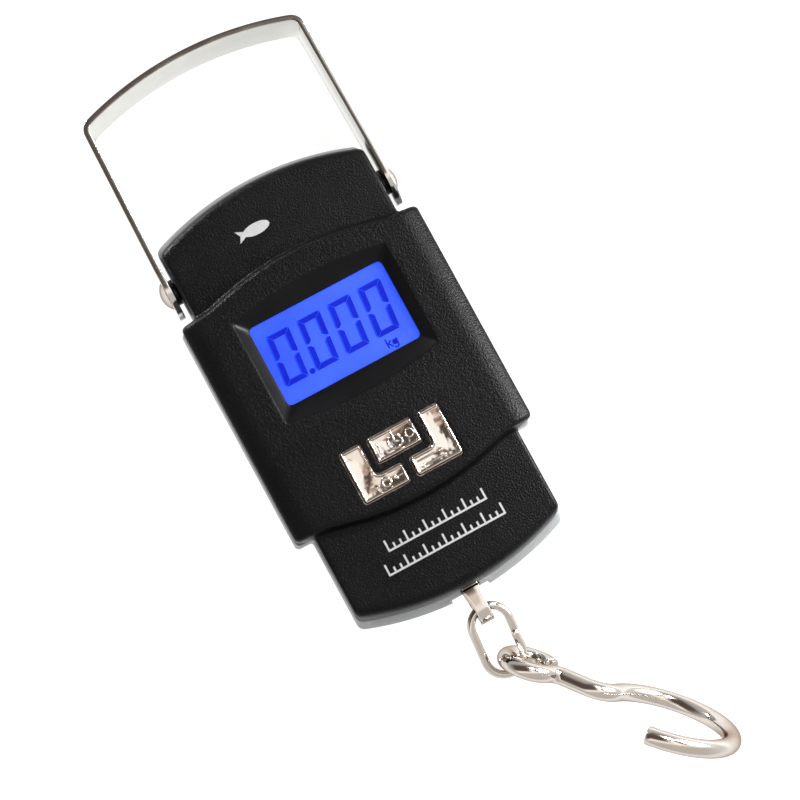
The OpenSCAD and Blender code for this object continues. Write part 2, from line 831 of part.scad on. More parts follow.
module battery_springs() {
    end = (well_y[1] - well_y[0]) / 2;
    free = 2 * end - 0.6 - 0.5 - aaa_len - 0.8;
    color([0.8, 0.8, 0.82]) cell_pair()
        translate([0, 0.9 - end, 0])
            sweep(spring_points(3, 3.8, 2, free, 54), 0.3, 6, [0, 1, 0]);
}

module load_cell_wires() {
    y = cell_y[0];
    for (i = [0:3]) {
        x = [-8.2, -6.4, 6.4, 8.2][i];
        color([[0.7, 0.05, 0.05], [0.9, 0.9, 0.9], [0.05, 0.5, 0.1], [0.1, 0.1, 0.1]][i])
            sweep([[x, y - 0.05, 12], [x, y - 1.5, 12.1], [x, y - 3, 12.8], [x, y - 3.9, 14],
                [x, y - 4.2, 15.2], [x, y - 4.2, board_z - 0.05]], 0.45, 8, [1, 0, 0]);
    }
}

module battery_wires() {
    y = well_y[1] - 0.3;
    color([0.7, 0.05, 0.05]) sides() sweep([[well_x, y, tab_z + 0.05], [well_x, y + 0.1, 15.4],
        [well_x - 0.2, y + 0.4, 16], [well_x - 0.2, y + 0.5, board_z - 0.05]], 0.5, 8,
        [1, 0, 0]);
}

front_shell();
back_shell();
battery_door();
display_window();
lcd_glass();
lcd_frame();
backlight_panel();
backlight_leds();
zebra_strips();
circuit_board();
controller_chip();
board_components();
switch_bodies();
power_button();
tare_button();
unit_button();
power_plunger();
tare_plunger();
unit_plunger();
load_cell();
strain_gauges();
gauge_sealant();
hanger_bracket();
bracket_bolt();
hook_stem();
stem_nut();
bail();
bail_rivets();
pivot_bushes();
rivet_washers();
chain_link();
hook();
shell_screws();
board_screws();
battery_cells();
battery_springs();
battery_contacts();
load_cell_wires();
battery_wires();
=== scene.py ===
"""Digital fish scale: the looks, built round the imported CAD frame.

Sizes below are in millimetres in the row frame and become metres when a mesh is made.
"""

import json
import math

import bmesh
import bpy
from mathutils import Matrix, Vector

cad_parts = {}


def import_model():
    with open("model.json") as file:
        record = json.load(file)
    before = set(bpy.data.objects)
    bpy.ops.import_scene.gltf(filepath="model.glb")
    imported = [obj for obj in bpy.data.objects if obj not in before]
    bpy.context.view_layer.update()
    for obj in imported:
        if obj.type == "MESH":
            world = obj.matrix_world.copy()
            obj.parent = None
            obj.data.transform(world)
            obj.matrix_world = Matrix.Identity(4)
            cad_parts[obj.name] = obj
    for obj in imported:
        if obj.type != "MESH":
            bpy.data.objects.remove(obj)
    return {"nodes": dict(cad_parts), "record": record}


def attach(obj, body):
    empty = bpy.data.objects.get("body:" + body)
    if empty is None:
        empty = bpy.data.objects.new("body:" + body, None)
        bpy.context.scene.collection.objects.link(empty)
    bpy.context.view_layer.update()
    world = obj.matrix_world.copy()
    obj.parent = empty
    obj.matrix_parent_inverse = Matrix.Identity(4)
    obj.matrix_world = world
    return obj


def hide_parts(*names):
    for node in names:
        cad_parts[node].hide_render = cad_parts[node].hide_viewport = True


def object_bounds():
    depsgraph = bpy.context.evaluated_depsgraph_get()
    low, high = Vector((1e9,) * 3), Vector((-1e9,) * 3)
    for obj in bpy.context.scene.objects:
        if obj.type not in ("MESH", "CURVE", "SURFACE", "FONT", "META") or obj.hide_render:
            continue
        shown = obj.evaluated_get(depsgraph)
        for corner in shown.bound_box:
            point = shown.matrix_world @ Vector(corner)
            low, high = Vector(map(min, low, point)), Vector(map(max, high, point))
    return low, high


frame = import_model()
cad_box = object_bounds()
scene = bpy.context.scene
nodes = frame["nodes"]
MM = 0.001
MERGE = 2e-6                     # points closer than this, in metres, become one


# ---------------------------------------------------------------- meshes

def new_object(name, verts, faces, sharp=35.0):
    """A mesh object from points in millimetres, smooth but for edges over sharp degrees."""
    mesh = bpy.data.meshes.new(name)
    mesh.from_pydata([Vector(v) * MM for v in verts], [], faces)
    obj = bpy.data.objects.new(name, mesh)
    scene.collection.objects.link(obj)
    clean(obj, sharp)
    return obj


def clean(obj, sharp):
    """Merges doubled points, turns the faces outwards and marks the sharp edges."""
    bm = bmesh.new()
    bm.from_mesh(obj.data)
    bmesh.ops.remove_doubles(bm, verts=bm.verts, dist=MERGE)
    bmesh.ops.dissolve_degenerate(bm, edges=bm.edges, dist=1e-7)
    bmesh.ops.recalc_face_normals(bm, faces=bm.faces)
    shade(bm, sharp)
    bm.to_mesh(obj.data)
    bm.free()


def shade(bm, sharp):
    limit = math.radians(sharp)
    for face in bm.faces:
        face.smooth = True
    for edge in bm.edges:
        edge.smooth = len(edge.link_faces) == 2 and edge.calc_face_angle(0) < limit


def join(name, parts):
    """One object from several, which are removed."""
    bm = bmesh.new()
    for part in parts:
        bm.from_mesh(part.data)
        bpy.data.objects.remove(part)
    mesh = bpy.data.meshes.new(name)
    bm.to_mesh(mesh)
    bm.free()
    obj = bpy.data.objects.new(name, mesh)
    scene.collection.objects.link(obj)
    return obj


def loft(rings):
    """Points and faces of a skin over closed rings of equal length, closed at both ends."""
    n = len(rings[0])
    verts = [p for ring in rings for p in ring]
    faces = []
    for i in range(len(rings) - 1):
        for k in range(n):
            j = (k + 1) % n
            faces.append((i * n + k, i * n + j, (i + 1) * n + j, (i + 1) * n + k))
    faces.append(tuple(range(n - 1, -1, -1)))
    faces.append(tuple(range(len(verts) - n, len(verts))))
    return verts, faces


def circle(radius, count):
    steps = [2 * math.pi * k / count for k in range(count)]
    return [(radius * math.cos(a), radius * math.sin(a)) for a in steps]


def sweep(points, normal, section):
    """Rings of section(i) carried along points that lie in the plane of normal."""
    rings = []
    for i, p in enumerate(points):
        ahead = points[min(i + 1, len(points) - 1)] - points[max(i - 1, 0)]
        side = ahead.normalized().cross(normal)
        rings.append([p + side * u + normal * v for u, v in section(i)])
    return rings


def fillet(corners, steps=6):
    """Outline through (x, y, radius) corners, each one rounded."""
    out = []
    for i, (x, y, r) in enumerate(corners):
        p = Vector((x, y))
        if r <= 0:
            out.append(p)
            continue
        a = (Vector(corners[i - 1][:2]) - p).normalized()
        b = (Vector(corners[(i + 1) % len(corners)][:2]) - p).normalized()
        half = a.angle(b) / 2
        c = p + (a + b).normalized() * (r / math.sin(half))
        start, end = p + a * (r / math.tan(half)) - c, p + b * (r / math.tan(half)) - c
        a0 = math.atan2(start.y, start.x)
        turn = (math.atan2(end.y, end.x) - a0 + math.pi) % (2 * math.pi) - math.pi
        for k in range(steps + 1):
            at = a0 + turn * k / steps
            out.append(c + Vector((math.cos(at), math.sin(at))) * r)
    return out


def inset(corners, d):
    """Square-cornered outline, anticlockwise, drawn in by d."""
    out = []
    for i, (x, y, r) in enumerate(corners):
        before, after = corners[i - 1], corners[(i + 1) % len(corners)]
        e0 = Vector((x - before[0], y - before[1])).normalized()
        e1 = Vector((after[0] - x, after[1] - y)).normalized()
        convex = e0.x * e1.y - e0.y * e1.x > 0
        out.append((x - (e0.y + e1.y) * d, y + (e0.x + e1.x) * d,
                    max(r - d, 0.05) if convex else r + d))
    return out


def prism(name, outline, z0, z1):
    rings = [[(p[0], p[1], z) for p in outline] for z in (z0, z1)]
    return new_object(name, *loft(rings))


def lathe(name, shape, axis, count=64):
    """A solid turned about the Z of axis: shape holds (radius, distance along)."""
    rings = [[axis @ Vector((x, y, along)) for x, y in circle(max(r, 0.001), count)]
             for r, along in shape]
    return new_object(name, *loft(rings))


def rod(name, axis, radius, z0, z1):
    return lathe(name, [(radius, z0), (radius, z1)], axis, 48)


def across(y, turn=90):
    """Axis of a bore that runs across the scale at y and at the load's height."""
    return Matrix.Translation((0, y, LOAD_Z)) @ Matrix.Rotation(math.radians(turn), 4, "Y")


def block(name, low, high):
    (x0, y0, z0), (x1, y1, z1) = low, high
    return prism(name, [(x0, y0), (x1, y0), (x1, y1), (x0, y1)], z0, z1)


def boolean(obj, tools, operation):
    for tool in tools:
        change = obj.modifiers.new("cut", "BOOLEAN")
        change.operation, change.object, change.solver = operation, tool, "EXACT"
        bpy.context.view_layer.update()
        graph = bpy.context.evaluated_depsgraph_get()
        mesh = bpy.data.meshes.new_from_object(obj.evaluated_get(graph))
        obj.modifiers.clear()
        obj.data = mesh
        bpy.data.objects.remove(tool)


def soften(obj, width):
    """Rounds every sharp edge with modifiers, which a CAD node may carry."""
    obj.modifiers.new("weld", "WELD").merge_threshold = 1e-6
    bevel = obj.modifiers.new("edges", "BEVEL")
    bevel.width, bevel.segments = width * MM, 2
    bevel.limit_method, bevel.angle_limit = "ANGLE", math.radians(40)
    bevel.use_clamp_overlap, bevel.harden_normals = True, False


# ---------------------------------------------------------------- materials

MATERIALS = {}


def feed(tree, socket, value):
    """Sets an input, or links it where the value is another node's output."""
    if isinstance(value, bpy.types.NodeSocket):
        tree.links.new(value, socket)
    else:
        socket.default_value = value


def add(tree, kind, **values):
    """A new shader node, its inputs fed by name."""
    node = tree.nodes.new("ShaderNode" + kind)
    for name, value in values.items():
        feed(tree, node.inputs[name.replace("_", " ")], value)
    return node


def calc(tree, operation, *values):
    """What a math node makes of its values."""
    node = tree.nodes.new("ShaderNodeMath")
    node.operation = operation
    for socket, value in zip(node.inputs, values):
        feed(tree, socket, value)
    return node.outputs["Value"]


def colour_ramp(tree, source, stops):
    """Colours at the given places of a value from 0 to 1."""
    ramp = add(tree, "ValToRGB", Fac=source)
    while len(ramp.color_ramp.elements) < len(stops):
        ramp.color_ramp.elements.new(0.5)
    for element, (at, colour) in zip(ramp.color_ramp.elements, stops):
        element.position, element.color = at, (*colour, 1)
    return ramp.outputs["Color"]


def new_material(name):
    """Adds a material of that name to MATERIALS; gives its node tree."""
    mat = MATERIALS[name] = bpy.data.materials.new(name)
    mat.use_nodes = True
    return mat.node_tree


def material(name, colour, metallic=0.0, rough=0.5, vary=0.06, patch=120.0, grain=1200.0,
             bump=0.1, depth=0.00003, rough_vary=0.05, coat=0.0, stretch=(1, 1, 1),
             specular=0.5, glance=(0.42, 0.34, 0.29)):
    """Principled material with procedural colour, roughness and relief.

    patch and grain are noise scales. glance tints what a bare metal shows at a glance.
    """
    tree = new_material(name)
    where = add(tree, "TexCoord").outputs["Object"]
    where = add(tree, "Mapping", Vector=where, Scale=stretch).outputs["Vector"]
    cloud = add(tree, "TexNoise", Vector=where, Scale=patch, Detail=4).outputs["Fac"]
    low, high = (tuple(max(0, min(1, c * k)) for c in colour) for k in (1 - vary, 1 + vary))
    spread = add(tree, "MapRange", Value=cloud, To_Min=max(0.02, rough - rough_vary),
                 To_Max=rough + rough_vary)
    fine = add(tree, "TexNoise", Vector=where, Scale=grain, Detail=2).outputs["Fac"]
    relief = add(tree, "Bump", Strength=bump, Distance=depth, Height=fine)
    looks = {"Base Color": colour_ramp(tree, cloud, [(0.3, low), (0.7, high)]),
             "Roughness": spread.outputs["Result"], "Metallic": metallic,
             "Coat Weight": coat, "Specular IOR Level": specular,
             "Normal": relief.outputs["Normal"]}
    if metallic == 1:
        looks["Specular Tint"] = (*glance, 1)
    for socket, value in looks.items():
        feed(tree, tree.nodes["Principled BSDF"].inputs[socket], value)


def add_glow(name, low, high):
    """Gives a material its own light, uneven between two colours as a backlight is."""
    tree = MATERIALS[name].node_tree
    inputs = tree.nodes["Principled BSDF"].inputs
    cloud = tree.nodes["Noise Texture"].outputs["Fac"]
    feed(tree, inputs["Emission Color"], colour_ramp(tree, cloud, [(0.3, low), (0.7, high)]))
    inputs["Emission Strength"].default_value = 1


# Metres: half width, lower and upper end and top of the smooth bezel
SMOOTH_HALF, SMOOTH_LOW, SMOOTH_HIGH, SMOOTH_TOP = 0.0217, -0.0062, 0.0278, 0.02493


def smooth_bezel(name):
    """Takes most of the grain away inside the sunk bezel, which is moulded smooth."""
    tree = MATERIALS[name].node_tree
    where = tree.nodes["Texture Coordinate"].outputs["Object"]
    x, y, z = add(tree, "SeparateXYZ", Vector=where).outputs
    inside = calc(tree, "LESS_THAN", calc(tree, "ABSOLUTE", x), SMOOTH_HALF)
    for test in (calc(tree, "GREATER_THAN", y, SMOOTH_LOW),
                 calc(tree, "LESS_THAN", y, SMOOTH_HIGH), calc(tree, "LESS_THAN", z, SMOOTH_TOP)):
        inside = calc(tree, "MULTIPLY", inside, test)
    feed(tree, tree.nodes["Bump"].inputs["Strength"],
         calc(tree, "MULTIPLY_ADD", inside, -0.93, 1.0))


def clear_material(name, tint):
    """A clear sheet: straight through, with a gloss that grows at a glance."""
    tree = new_material(name)
    tree.nodes.clear()
    where = add(tree, "TexCoord").outputs["Object"]
    smear = add(tree, "TexNoise", Vector=where, Scale=90).outputs["Fac"]
    level = add(tree, "MapRange", Value=smear, To_Min=0.03, To_Max=0.12).outputs["Result"]
    steep = calc(tree, "POWER", add(tree, "LayerWeight").outputs["Facing"], 5)
    mix = add(tree, "MixShader", Fac=calc(tree, "MULTIPLY_ADD", steep, 0.96, 0.014))
    through = add(tree, "BsdfTransparent", Color=(*tint, 1))
    gloss = add(tree, "BsdfGlossy", Roughness=level)
    feed(tree, mix.inputs[1], through.outputs["BSDF"])
    feed(tree, mix.inputs[2], gloss.outputs["BSDF"])
    add(tree, "OutputMaterial", Surface=mix.outputs["Shader"])


NICKEL = (0.62, 0.575, 0.53)
material("black_abs", (0.0022, 0.0022, 0.0026), rough=0.34, vary=0.15, grain=2100, bump=1.0,
         depth=0.0002, specular=0.09)
material("silver_abs", (0.19, 0.2, 0.205), rough=0.36, grain=2600, bump=0.25, metallic=0.35)
material("lcd_blue", (0.01, 0.02, 0.3), rough=0.3, patch=45)
material("lcd_segments", (0.0, 0.003, 0.06), patch=200, specular=0.1)
material("lcd_shadow", (0.0, 0.01, 0.2), patch=200, specular=0.1)
material("white_print", (0.24, 0.245, 0.25), rough=0.6, vary=0.08, patch=1500)
material("white_plastic", (0.8, 0.8, 0.78), rough=0.45, grain=1500, bump=0.2)
material("clear_light_guide", (0.75, 0.83, 0.95), rough=0.2)
material("led_body", (0.9, 0.88, 0.6), rough=0.3)
material("elastomer", (0.75, 0.3, 0.42), rough=0.7, grain=3000, bump=0.3, stretch=(6, 1, 1))
material("board_green", (0.015, 0.17, 0.06), rough=0.32, vary=0.2, patch=500, grain=900,
         bump=0.25)
material("black_epoxy", (0.01, 0.01, 0.011), rough=0.18, grain=400, bump=0.2)
material("part_tan", (0.5, 0.38, 0.2), rough=0.35, vary=0.2, patch=300)
material("switch_black", (0.04, 0.04, 0.04), grain=2500, bump=0.2)
material("bright_plating", NICKEL, metallic=1, rough=0.08, rough_vary=0.03, patch=90,
         grain=230, bump=0.6, depth=0.0003)
material("plunger_natural", (0.75, 0.7, 0.56), rough=0.45)
material("cell_aluminium", (0.7, 0.71, 0.73), metallic=1, rough=0.35, grain=900, bump=0.3,
         stretch=(1, 8, 1))
material("gauge_foil", (0.7, 0.4, 0.1), rough=0.35, vary=0.3, patch=2500, stretch=(8, 1, 1))
material("sealant_white", (0.8, 0.8, 0.77), rough=0.4, grain=350, bump=0.5)
material("steel", (0.62, 0.62, 0.63), metallic=1, rough=0.32, bump=0.2, stretch=(1, 6, 1))
material("polished_steel", NICKEL, metallic=1, rough=0.12, vary=0.04, patch=200, grain=700,
         bump=0.12, depth=0.00002)
material("bail_steel", (0.6, 0.6, 0.58), metallic=1, rough=0.14, vary=0.04, patch=200,
         grain=700, bump=0.12, depth=0.00002, glance=(0.9, 0.9, 0.88))
material("black_nylon", (0.012, 0.012, 0.012), rough=0.38, grain=900, bump=0.2)
material("black_steel", (0.06, 0.06, 0.065), metallic=1, rough=0.38, grain=900, bump=0.2)
material("cell_jacket", (0.75, 0.35, 0.05), rough=0.25, vary=0.15, metallic=0.6, coat=0.5)
material("spring_steel", (0.7, 0.7, 0.7), metallic=1, rough=0.25)
material("contact_nickel", (0.7, 0.66, 0.58), metallic=1, rough=0.3, grain=900, bump=0.15)
material("wire_red", (0.5, 0.015, 0.015), rough=0.4)
material("wire_grey", (0.3, 0.3, 0.3), rough=0.45)
material("floor_white", (0.14, 0.14, 0.14), rough=0.8, vary=0.01, patch=3, specular=0.05)
clear_material("clear_window", (0.97, 0.98, 1.0))
smooth_bezel("black_abs")
add_glow("lcd_blue", (0.01, 0.07, 0.93), (0.035, 0.125, 1.0))
add_glow("lcd_segments", (0.0, 0.006, 0.5), (0.0, 0.012, 0.62))
add_glow("lcd_shadow", (0.004, 0.035, 0.78), (0.014, 0.06, 0.9))
add_glow("floor_white", (0.93, 0.93, 0.93), (0.95, 0.95, 0.95))


def place(obj, body, slot, *replaced, finish=None):
    """Gives a new piece its finish, or its slot's where none is given, puts it on its body and
    hides the CAD nodes it stands for.
    """
    obj.data.materials.clear()
    obj.data.materials.append(MATERIALS[finish or slot])
    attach(obj, body)
    if replaced:
        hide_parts(*replaced)


# ---------------------------------------------------------------- front shell

JOINT_Z = 13.0                   # where the two shells meet
# The neck is the lower, narrower part of the shell; the bulge is the raised section
NECK_HALF, NECK_Z, NECK_RISE = 28.3, 20.5, 5.5
NECK_END = {1: 50.1, -1: 53.4}
NECK_EDGE = 0.9
BULGE_HALF, BULGE_Z, BULGE_Y, BULGE_RISE = 32.75, 25.0, 30.0, 4.1
BULGE_EDGE, BULGE_DROP = 5.25, 2.4
SHOULDER = 8.0
CORNER_R = 2.2
WALL = 2.0
BEZEL_HALF, BEZEL_TOP, BEZEL_BOTTOM, BEZEL_BOW = 21.55, 25.0, -3.4, 2.6
VIEW_HALF_W, VIEW_LOW, VIEW_HIGH, VIEW_R = 18.45, 0.4, 22.0, 1.3
FLAT = 27.5                      # half width of the raised section's flat top
WALL_STEPS, EDGE_STEPS, SIDE_COLUMNS, MID_COLUMNS = 4, 9, 5, 44
SLOPE_ROWS, LOWER_ROWS, BEZEL_ROWS, UPPER_ROWS = 6, 9, 22, 3
# The neck's ends slope down: distance in from the end, height
END_SLOPE = [(0, 14.2), (0.25, 16.2), (0.5, 17.6), (0.8, 18.6), (1.1, 19.25), (1.45, 19.72),
             (1.85, 20.05), (2.3, 20.28), (2.7, 20.4), (3.1, 20.47), (3.6, 20.5)]
# The bezel from the raised section's top into the opening: share of the way, height
BEZEL_SLOPE = [(0.05, 24.98), (0.1, 24.92), (0.15, 24.82), (0.21, 24.66), (0.28, 24.44),
               (0.5, 23.86), (0.75, 23.2), (0.93, 22.74), (0.98, 22.66), (1.0, 22.5),
               (1.0, 21.5)]


def chord_arc(x, half, rise):
    """Height at x of the arc that rises by rise over a chord of twice half."""
    r = (half * half + rise * rise) / (2 * rise)
    return math.sqrt(max(r * r - x * x, 0)) - (r - rise)


def bulge_arc(x):
    """The raised section's end: an arc that runs out into flat shoulders."""
    soft = 0.8
    rise = chord_arc(x, BULGE_HALF - SHOULDER, BULGE_RISE)
    return 0.5 * (rise + math.sqrt(rise * rise + soft * soft)) - 0.04


def neck_arc(x):
    """How far the neck's end runs out at x beyond its corners."""
    return chord_arc(min(abs(x), NECK_HALF), NECK_HALF, NECK_RISE)


def bezel_arc(x):
    """How far the bezel's long edges bow out at x."""
    return BEZEL_BOW * (1 - min(abs(x) / BEZEL_HALF, 1) ** 2)


def columns():
    """Where the points across a flat top lie, as shares of its half width."""
    side = [BEZEL_HALF + (FLAT - BEZEL_HALF) * k / SIDE_COLUMNS
            for k in range(1, SIDE_COLUMNS)]
    middle = [BEZEL_HALF * (2 * k / MID_COLUMNS - 1) for k in range(MID_COLUMNS + 1)]
    return [-x / FLAT for x in reversed(side)] + [x / FLAT for x in middle] + [
        x / FLAT for x in side]


COLUMNS = columns()


def profile(half, top, side, drop):
    """Cross-section from one bottom edge over the top to the other, as (x, z).

    Its long edges are rounded over, side wide and drop deep.
    """
    power = 2 / 1.75
    left = [(-half, JOINT_Z + (top - drop - JOINT_Z) * k / WALL_STEPS)
            for k in range(WALL_STEPS)]
    for k in range(EDGE_STEPS + 1):
        a = math.pi / 2 * k / EDGE_STEPS
        left.append((-(half - side) - side * max(math.cos(a), 0) ** power,
                     top - drop + drop * math.sin(a) ** power))
    flat = [(c * (half - side), top) for c in COLUMNS]
    return left + flat + [(-x, z) for x, z in reversed(left)]


def bulge_profile(wall):
    return profile(BULGE_HALF - wall, BULGE_Z - wall, BULGE_EDGE - wall * 0.5, BULGE_DROP)


def ease(points, d):
    """Straight interpolation in a short table of (distance, value)."""
    for (d0, v0), (d1, v1) in zip(points, points[1:]):
        if d <= d1:
            return v0 + (v1 - v0) * (d - d0) / (d1 - d0)
    return points[-1][1]


def between(a, b, count):
    """Rows of points spread evenly between two rows."""
    return [[tuple(p + (q - p) * k / (count + 1) for p, q in zip(u, v))
             for u, v in zip(a, b)] for k in range(1, count + 1)]


def half_rows(sign, wall):
    """Rows of one half of the shell, from its end to the raised section's top edge.

    Each row is a list of points. wall draws the whole skin in by that much.
    """
    rows = []
    end = NECK_END[sign] - wall
    neck = profile(NECK_HALF - wall, NECK_Z - wall, NECK_EDGE, NECK_EDGE)
    for i, d in enumerate([0.0] + [d for d, _ in END_SLOPE]):
        top = JOINT_Z if i == 0 else max(ease(END_SLOPE, d) - wall, JOINT_Z + 0.2)
        cut = max(CORNER_R - d, 0)
        trim = CORNER_R - math.sqrt(CORNER_R ** 2 - cut ** 2)
        drop = min(NECK_EDGE, (top - JOINT_Z) * 0.6)
        shape = profile(NECK_HALF - wall - trim, top, NECK_EDGE, drop)
        rows.append([(x, sign * (end - d + neck_arc(x)), z) for x, z in shape])
    last = rows[-1]
    # plain rows up to the raised section
    lean, concave, convex, height = 0.5, 0.9, 1.5, BULGE_Z - NECK_Z
    foot = BULGE_Y - wall + lean
    ahead = [(x, sign * (foot + concave + bulge_arc(x)), z) for x, z in neck]
    rows += between(last, ahead, SLOPE_ROWS)
    bulge = bulge_profile(wall)
    # concave fillet, wall and convex edge: distance out from the wall's top, height
    path = []
    for k in range(6):
        a = math.pi / 2 * k / 5
        path.append((lean + concave * (1 - math.sin(a)), concave * (1 - math.cos(a))))
    for k in range(7):
        a = math.pi / 2 * k / 6
        path.append((-convex * (1 - math.cos(a)), height - convex * (1 - math.sin(a))))
    for out, up in path:
        q = up / height
        row = []
        for (xa, za), (xb, zb) in zip(neck, bulge):
            x = xa + (xb - xa) * q
            y = BULGE_Y - wall + out + bulge_arc(x)
            row.append((x, sign * y, za + (zb - za) * q))
        rows.append(row)
    return rows


def shell_skin(wall):
    """Grid of the whole front skin, and the span of rows and columns of the bezel."""
    upper, lower = half_rows(1, wall), half_rows(-1, wall)
    bulge = bulge_profile(wall)

    def row_at(y, bow):
        return [(x, y + bow(x), z) for x, z in bulge]

    bezel_high = row_at(BEZEL_TOP, bezel_arc)
    bezel_low = row_at(BEZEL_BOTTOM, lambda x: -bezel_arc(x))

    rows = lower + between(lower[-1], bezel_low, LOWER_ROWS)
    first = len(rows)
    rows += [bezel_low] + between(bezel_low, bezel_high, BEZEL_ROWS) + [bezel_high]
    last = len(rows) - 1
    rows += between(bezel_high, upper[-1], UPPER_ROWS) + upper[::-1]
    left = WALL_STEPS + EDGE_STEPS + SIDE_COLUMNS
    return rows, first, last, left, left + MID_COLUMNS


def bezel_loop(first, last, left, right):
    """Grid indices round the bezel, anticlockwise from its lower left corner."""
    loop = [(first, c) for c in range(left, right)]
    loop += [(r, right) for r in range(first, last)]
    loop += [(last, c) for c in range(right, left, -1)]
    loop += [(r, left) for r in range(last, first, -1)]
    return loop


def front_shell():
    """The outer and inner skins, joined round the rim and through the display's opening."""
    outer, first, last, left, right = shell_skin(0)
    inner = shell_skin(WALL)[0]
    count = len(outer[0])
    verts = [p for row in outer for p in row] + [p for row in inner for p in row]
    offset = len(outer) * count
    faces = []
    for i in range(len(outer) - 1):
        for k in range(count - 1):
            if first <= i < last and left <= k < right:
                continue
            quad = (i * count + k, i * count + k + 1, (i + 1) * count + k + 1,
                    (i + 1) * count + k)
            faces += [quad, tuple(offset + v for v in reversed(quad))]
    rim = ([(i, 0) for i in range(len(outer))]
           + [(len(outer) - 1, k) for k in range(1, count)]
           + [(i, count - 1) for i in range(len(outer) - 2, -1, -1)]
           + [(0, k) for k in range(count - 2, 0, -1)])
    ids = [i * count + k for i, k in rim]
    for a, b in zip(ids, ids[1:] + ids[:1]):
        faces.append((a, b, offset + b, offset + a))
    # the bezel slopes from the loop to the display's opening, then turns down
    loop = bezel_loop(first, last, left, right)
    outside = [outer[i][k] for i, k in loop]
    opening = []
    half_h = (VIEW_HIGH - VIEW_LOW) / 2
    for (i, k), (x, y, _) in zip(loop, outside):
        u = x / BEZEL_HALF * VIEW_HALF_W
        v = (i - first) / (last - first) * (VIEW_HIGH - VIEW_LOW) - half_h
        over = Vector((abs(u) - VIEW_HALF_W + VIEW_R, abs(v) - half_h + VIEW_R))
        if over.x > 0 and over.y > 0 and over.length > VIEW_R:
            over = over.normalized() * VIEW_R
            u = math.copysign(VIEW_HALF_W - VIEW_R + over.x, u)
            v = math.copysign(half_h - VIEW_R + over.y, v)
        opening.append((u, VIEW_LOW + half_h + v))
    rings = [[i * count + k for i, k in loop]]
    for t, z in BEZEL_SLOPE:
        rings.append(range(len(verts), len(verts) + len(loop)))
        for (x, y, _), (u, v) in zip(outside, opening):
            verts.append((x + (u - x) * t, y + (v - y) * t, z))
    rings.append([offset + i * count + k for i, k in loop])
    for a, b in zip(rings, rings[1:]):
        for k in range(len(loop)):
            j = (k + 1) % len(loop)
            faces.append((a[k], a[j], b[j], b[k]))
    shell = new_object("front_shell_skin", verts, faces, 50)
    cutters = [prism("hole", fillet(inset(shape, -BUTTON_GAP)), 20, 27)
               for shape in (BAR, ELL_LEFT, ELL_RIGHT)]
    boolean(shell, cutters, "DIFFERENCE")
    # the rims of the button holes, which lie in this part of the top, are rounded over
    half, top = 16 * MM, -14 * MM
    bm = bmesh.new()
    bm.from_mesh(shell.data)
    bmesh.ops.remove_doubles(bm, verts=bm.verts, dist=MERGE)
    edges = [e for e in bm.edges if len(e.link_faces) == 2
             and e.calc_face_angle(0) > math.radians(60)
             and all(abs(v.co.z - BULGE_Z * MM) < 1e-6 and abs(v.co.x) < half
                     and v.co.y < top for v in e.verts)]
    bmesh.ops.bevel(bm, geom=edges, offset=0.22 * MM, segments=3, profile=0.5,
                    affect="EDGES", clamp_overlap=True)
    shade(bm, 38)
    bm.to_mesh(shell.data)
    bm.free()
    place(shell, "body", "black_abs", "front_shell")


# ---------------------------------------------------------------- buttons

BUTTON_GAP = 0.3
KEY_TOP, KEY_BOTTOM, BAR_HALF, BAR_BOTTOM = -15.9, -29.6, 5.95, -22.35
ELL_IN, ELL_OUT, ELL_ARM, ELL_FOOT = 1.15, 13.5, 5.5, 4.9
FLANGE_Z, KEY_Z = 22.15, 25.6
KEY_R, CROOK_R = 0.75, 1.5
BAR = [(-BAR_HALF, BAR_BOTTOM, KEY_R), (BAR_HALF, BAR_BOTTOM, KEY_R),
       (BAR_HALF, KEY_TOP, KEY_R), (-BAR_HALF, KEY_TOP, KEY_R)]
ELL_LEFT = [(-ELL_OUT, KEY_BOTTOM, KEY_R), (-ELL_IN, KEY_BOTTOM, KEY_R),
            (-ELL_IN, KEY_BOTTOM + ELL_FOOT, KEY_R),
            (-ELL_OUT + ELL_ARM, KEY_BOTTOM + ELL_FOOT, CROOK_R),
            (-ELL_OUT + ELL_ARM, KEY_TOP, KEY_R), (-ELL_OUT, KEY_TOP, KEY_R)]
ELL_RIGHT = [(-x, y, r) for x, y, r in reversed(ELL_LEFT)]
# Button section from the flange up over the rim to the sunk face: (inset, height)
KEY_SECTION = [(-0.8, FLANGE_Z), (-0.8, FLANGE_Z + 0.8), (0, FLANGE_Z + 0.8), (0.05, 24.6),
               (0.16, 25.35), (0.2, 25.48), (0.28, 25.57), (0.38, KEY_Z), (0.5, KEY_Z),
               (0.6, 25.57), (0.67, 25.48), (0.72, 25.3), (0.78, 25.1), (0.85, 25.02),
               (0.95, 25.0)]
# Section of the raised symbols: share of the edge's rounding, share of their height
SYMBOL_SECTION = [(0, 0), (0, 0.45), (0.18, 0.7), (0.53, 0.88), (1, 1)]
SYMBOL_LOW, SYMBOL_HIGH, SYMBOL_R = 24.95, 25.5, 0.17


def stroke(points, width, z0=SYMBOL_LOW, z1=SYMBOL_HIGH):
    """A flat bar with round ends along a line of points."""
    h = width / 2
    left, right = [], []
    for i, p in enumerate(points):
        p = Vector(p)
        d = (Vector(points[min(i + 1, len(points) - 1)])
             - Vector(points[max(i - 1, 0)])).normalized()
        side = Vector((-d.y, d.x)) * h
        left.append(p + side)
        right.append(p - side)
    outline = right + end_cap(points[-2], points[-1], h) + left[::-1] + end_cap(
        points[1], points[0], h)
    return domed("stroke", outline, z0, z1, min(SYMBOL_R, width * 0.3))


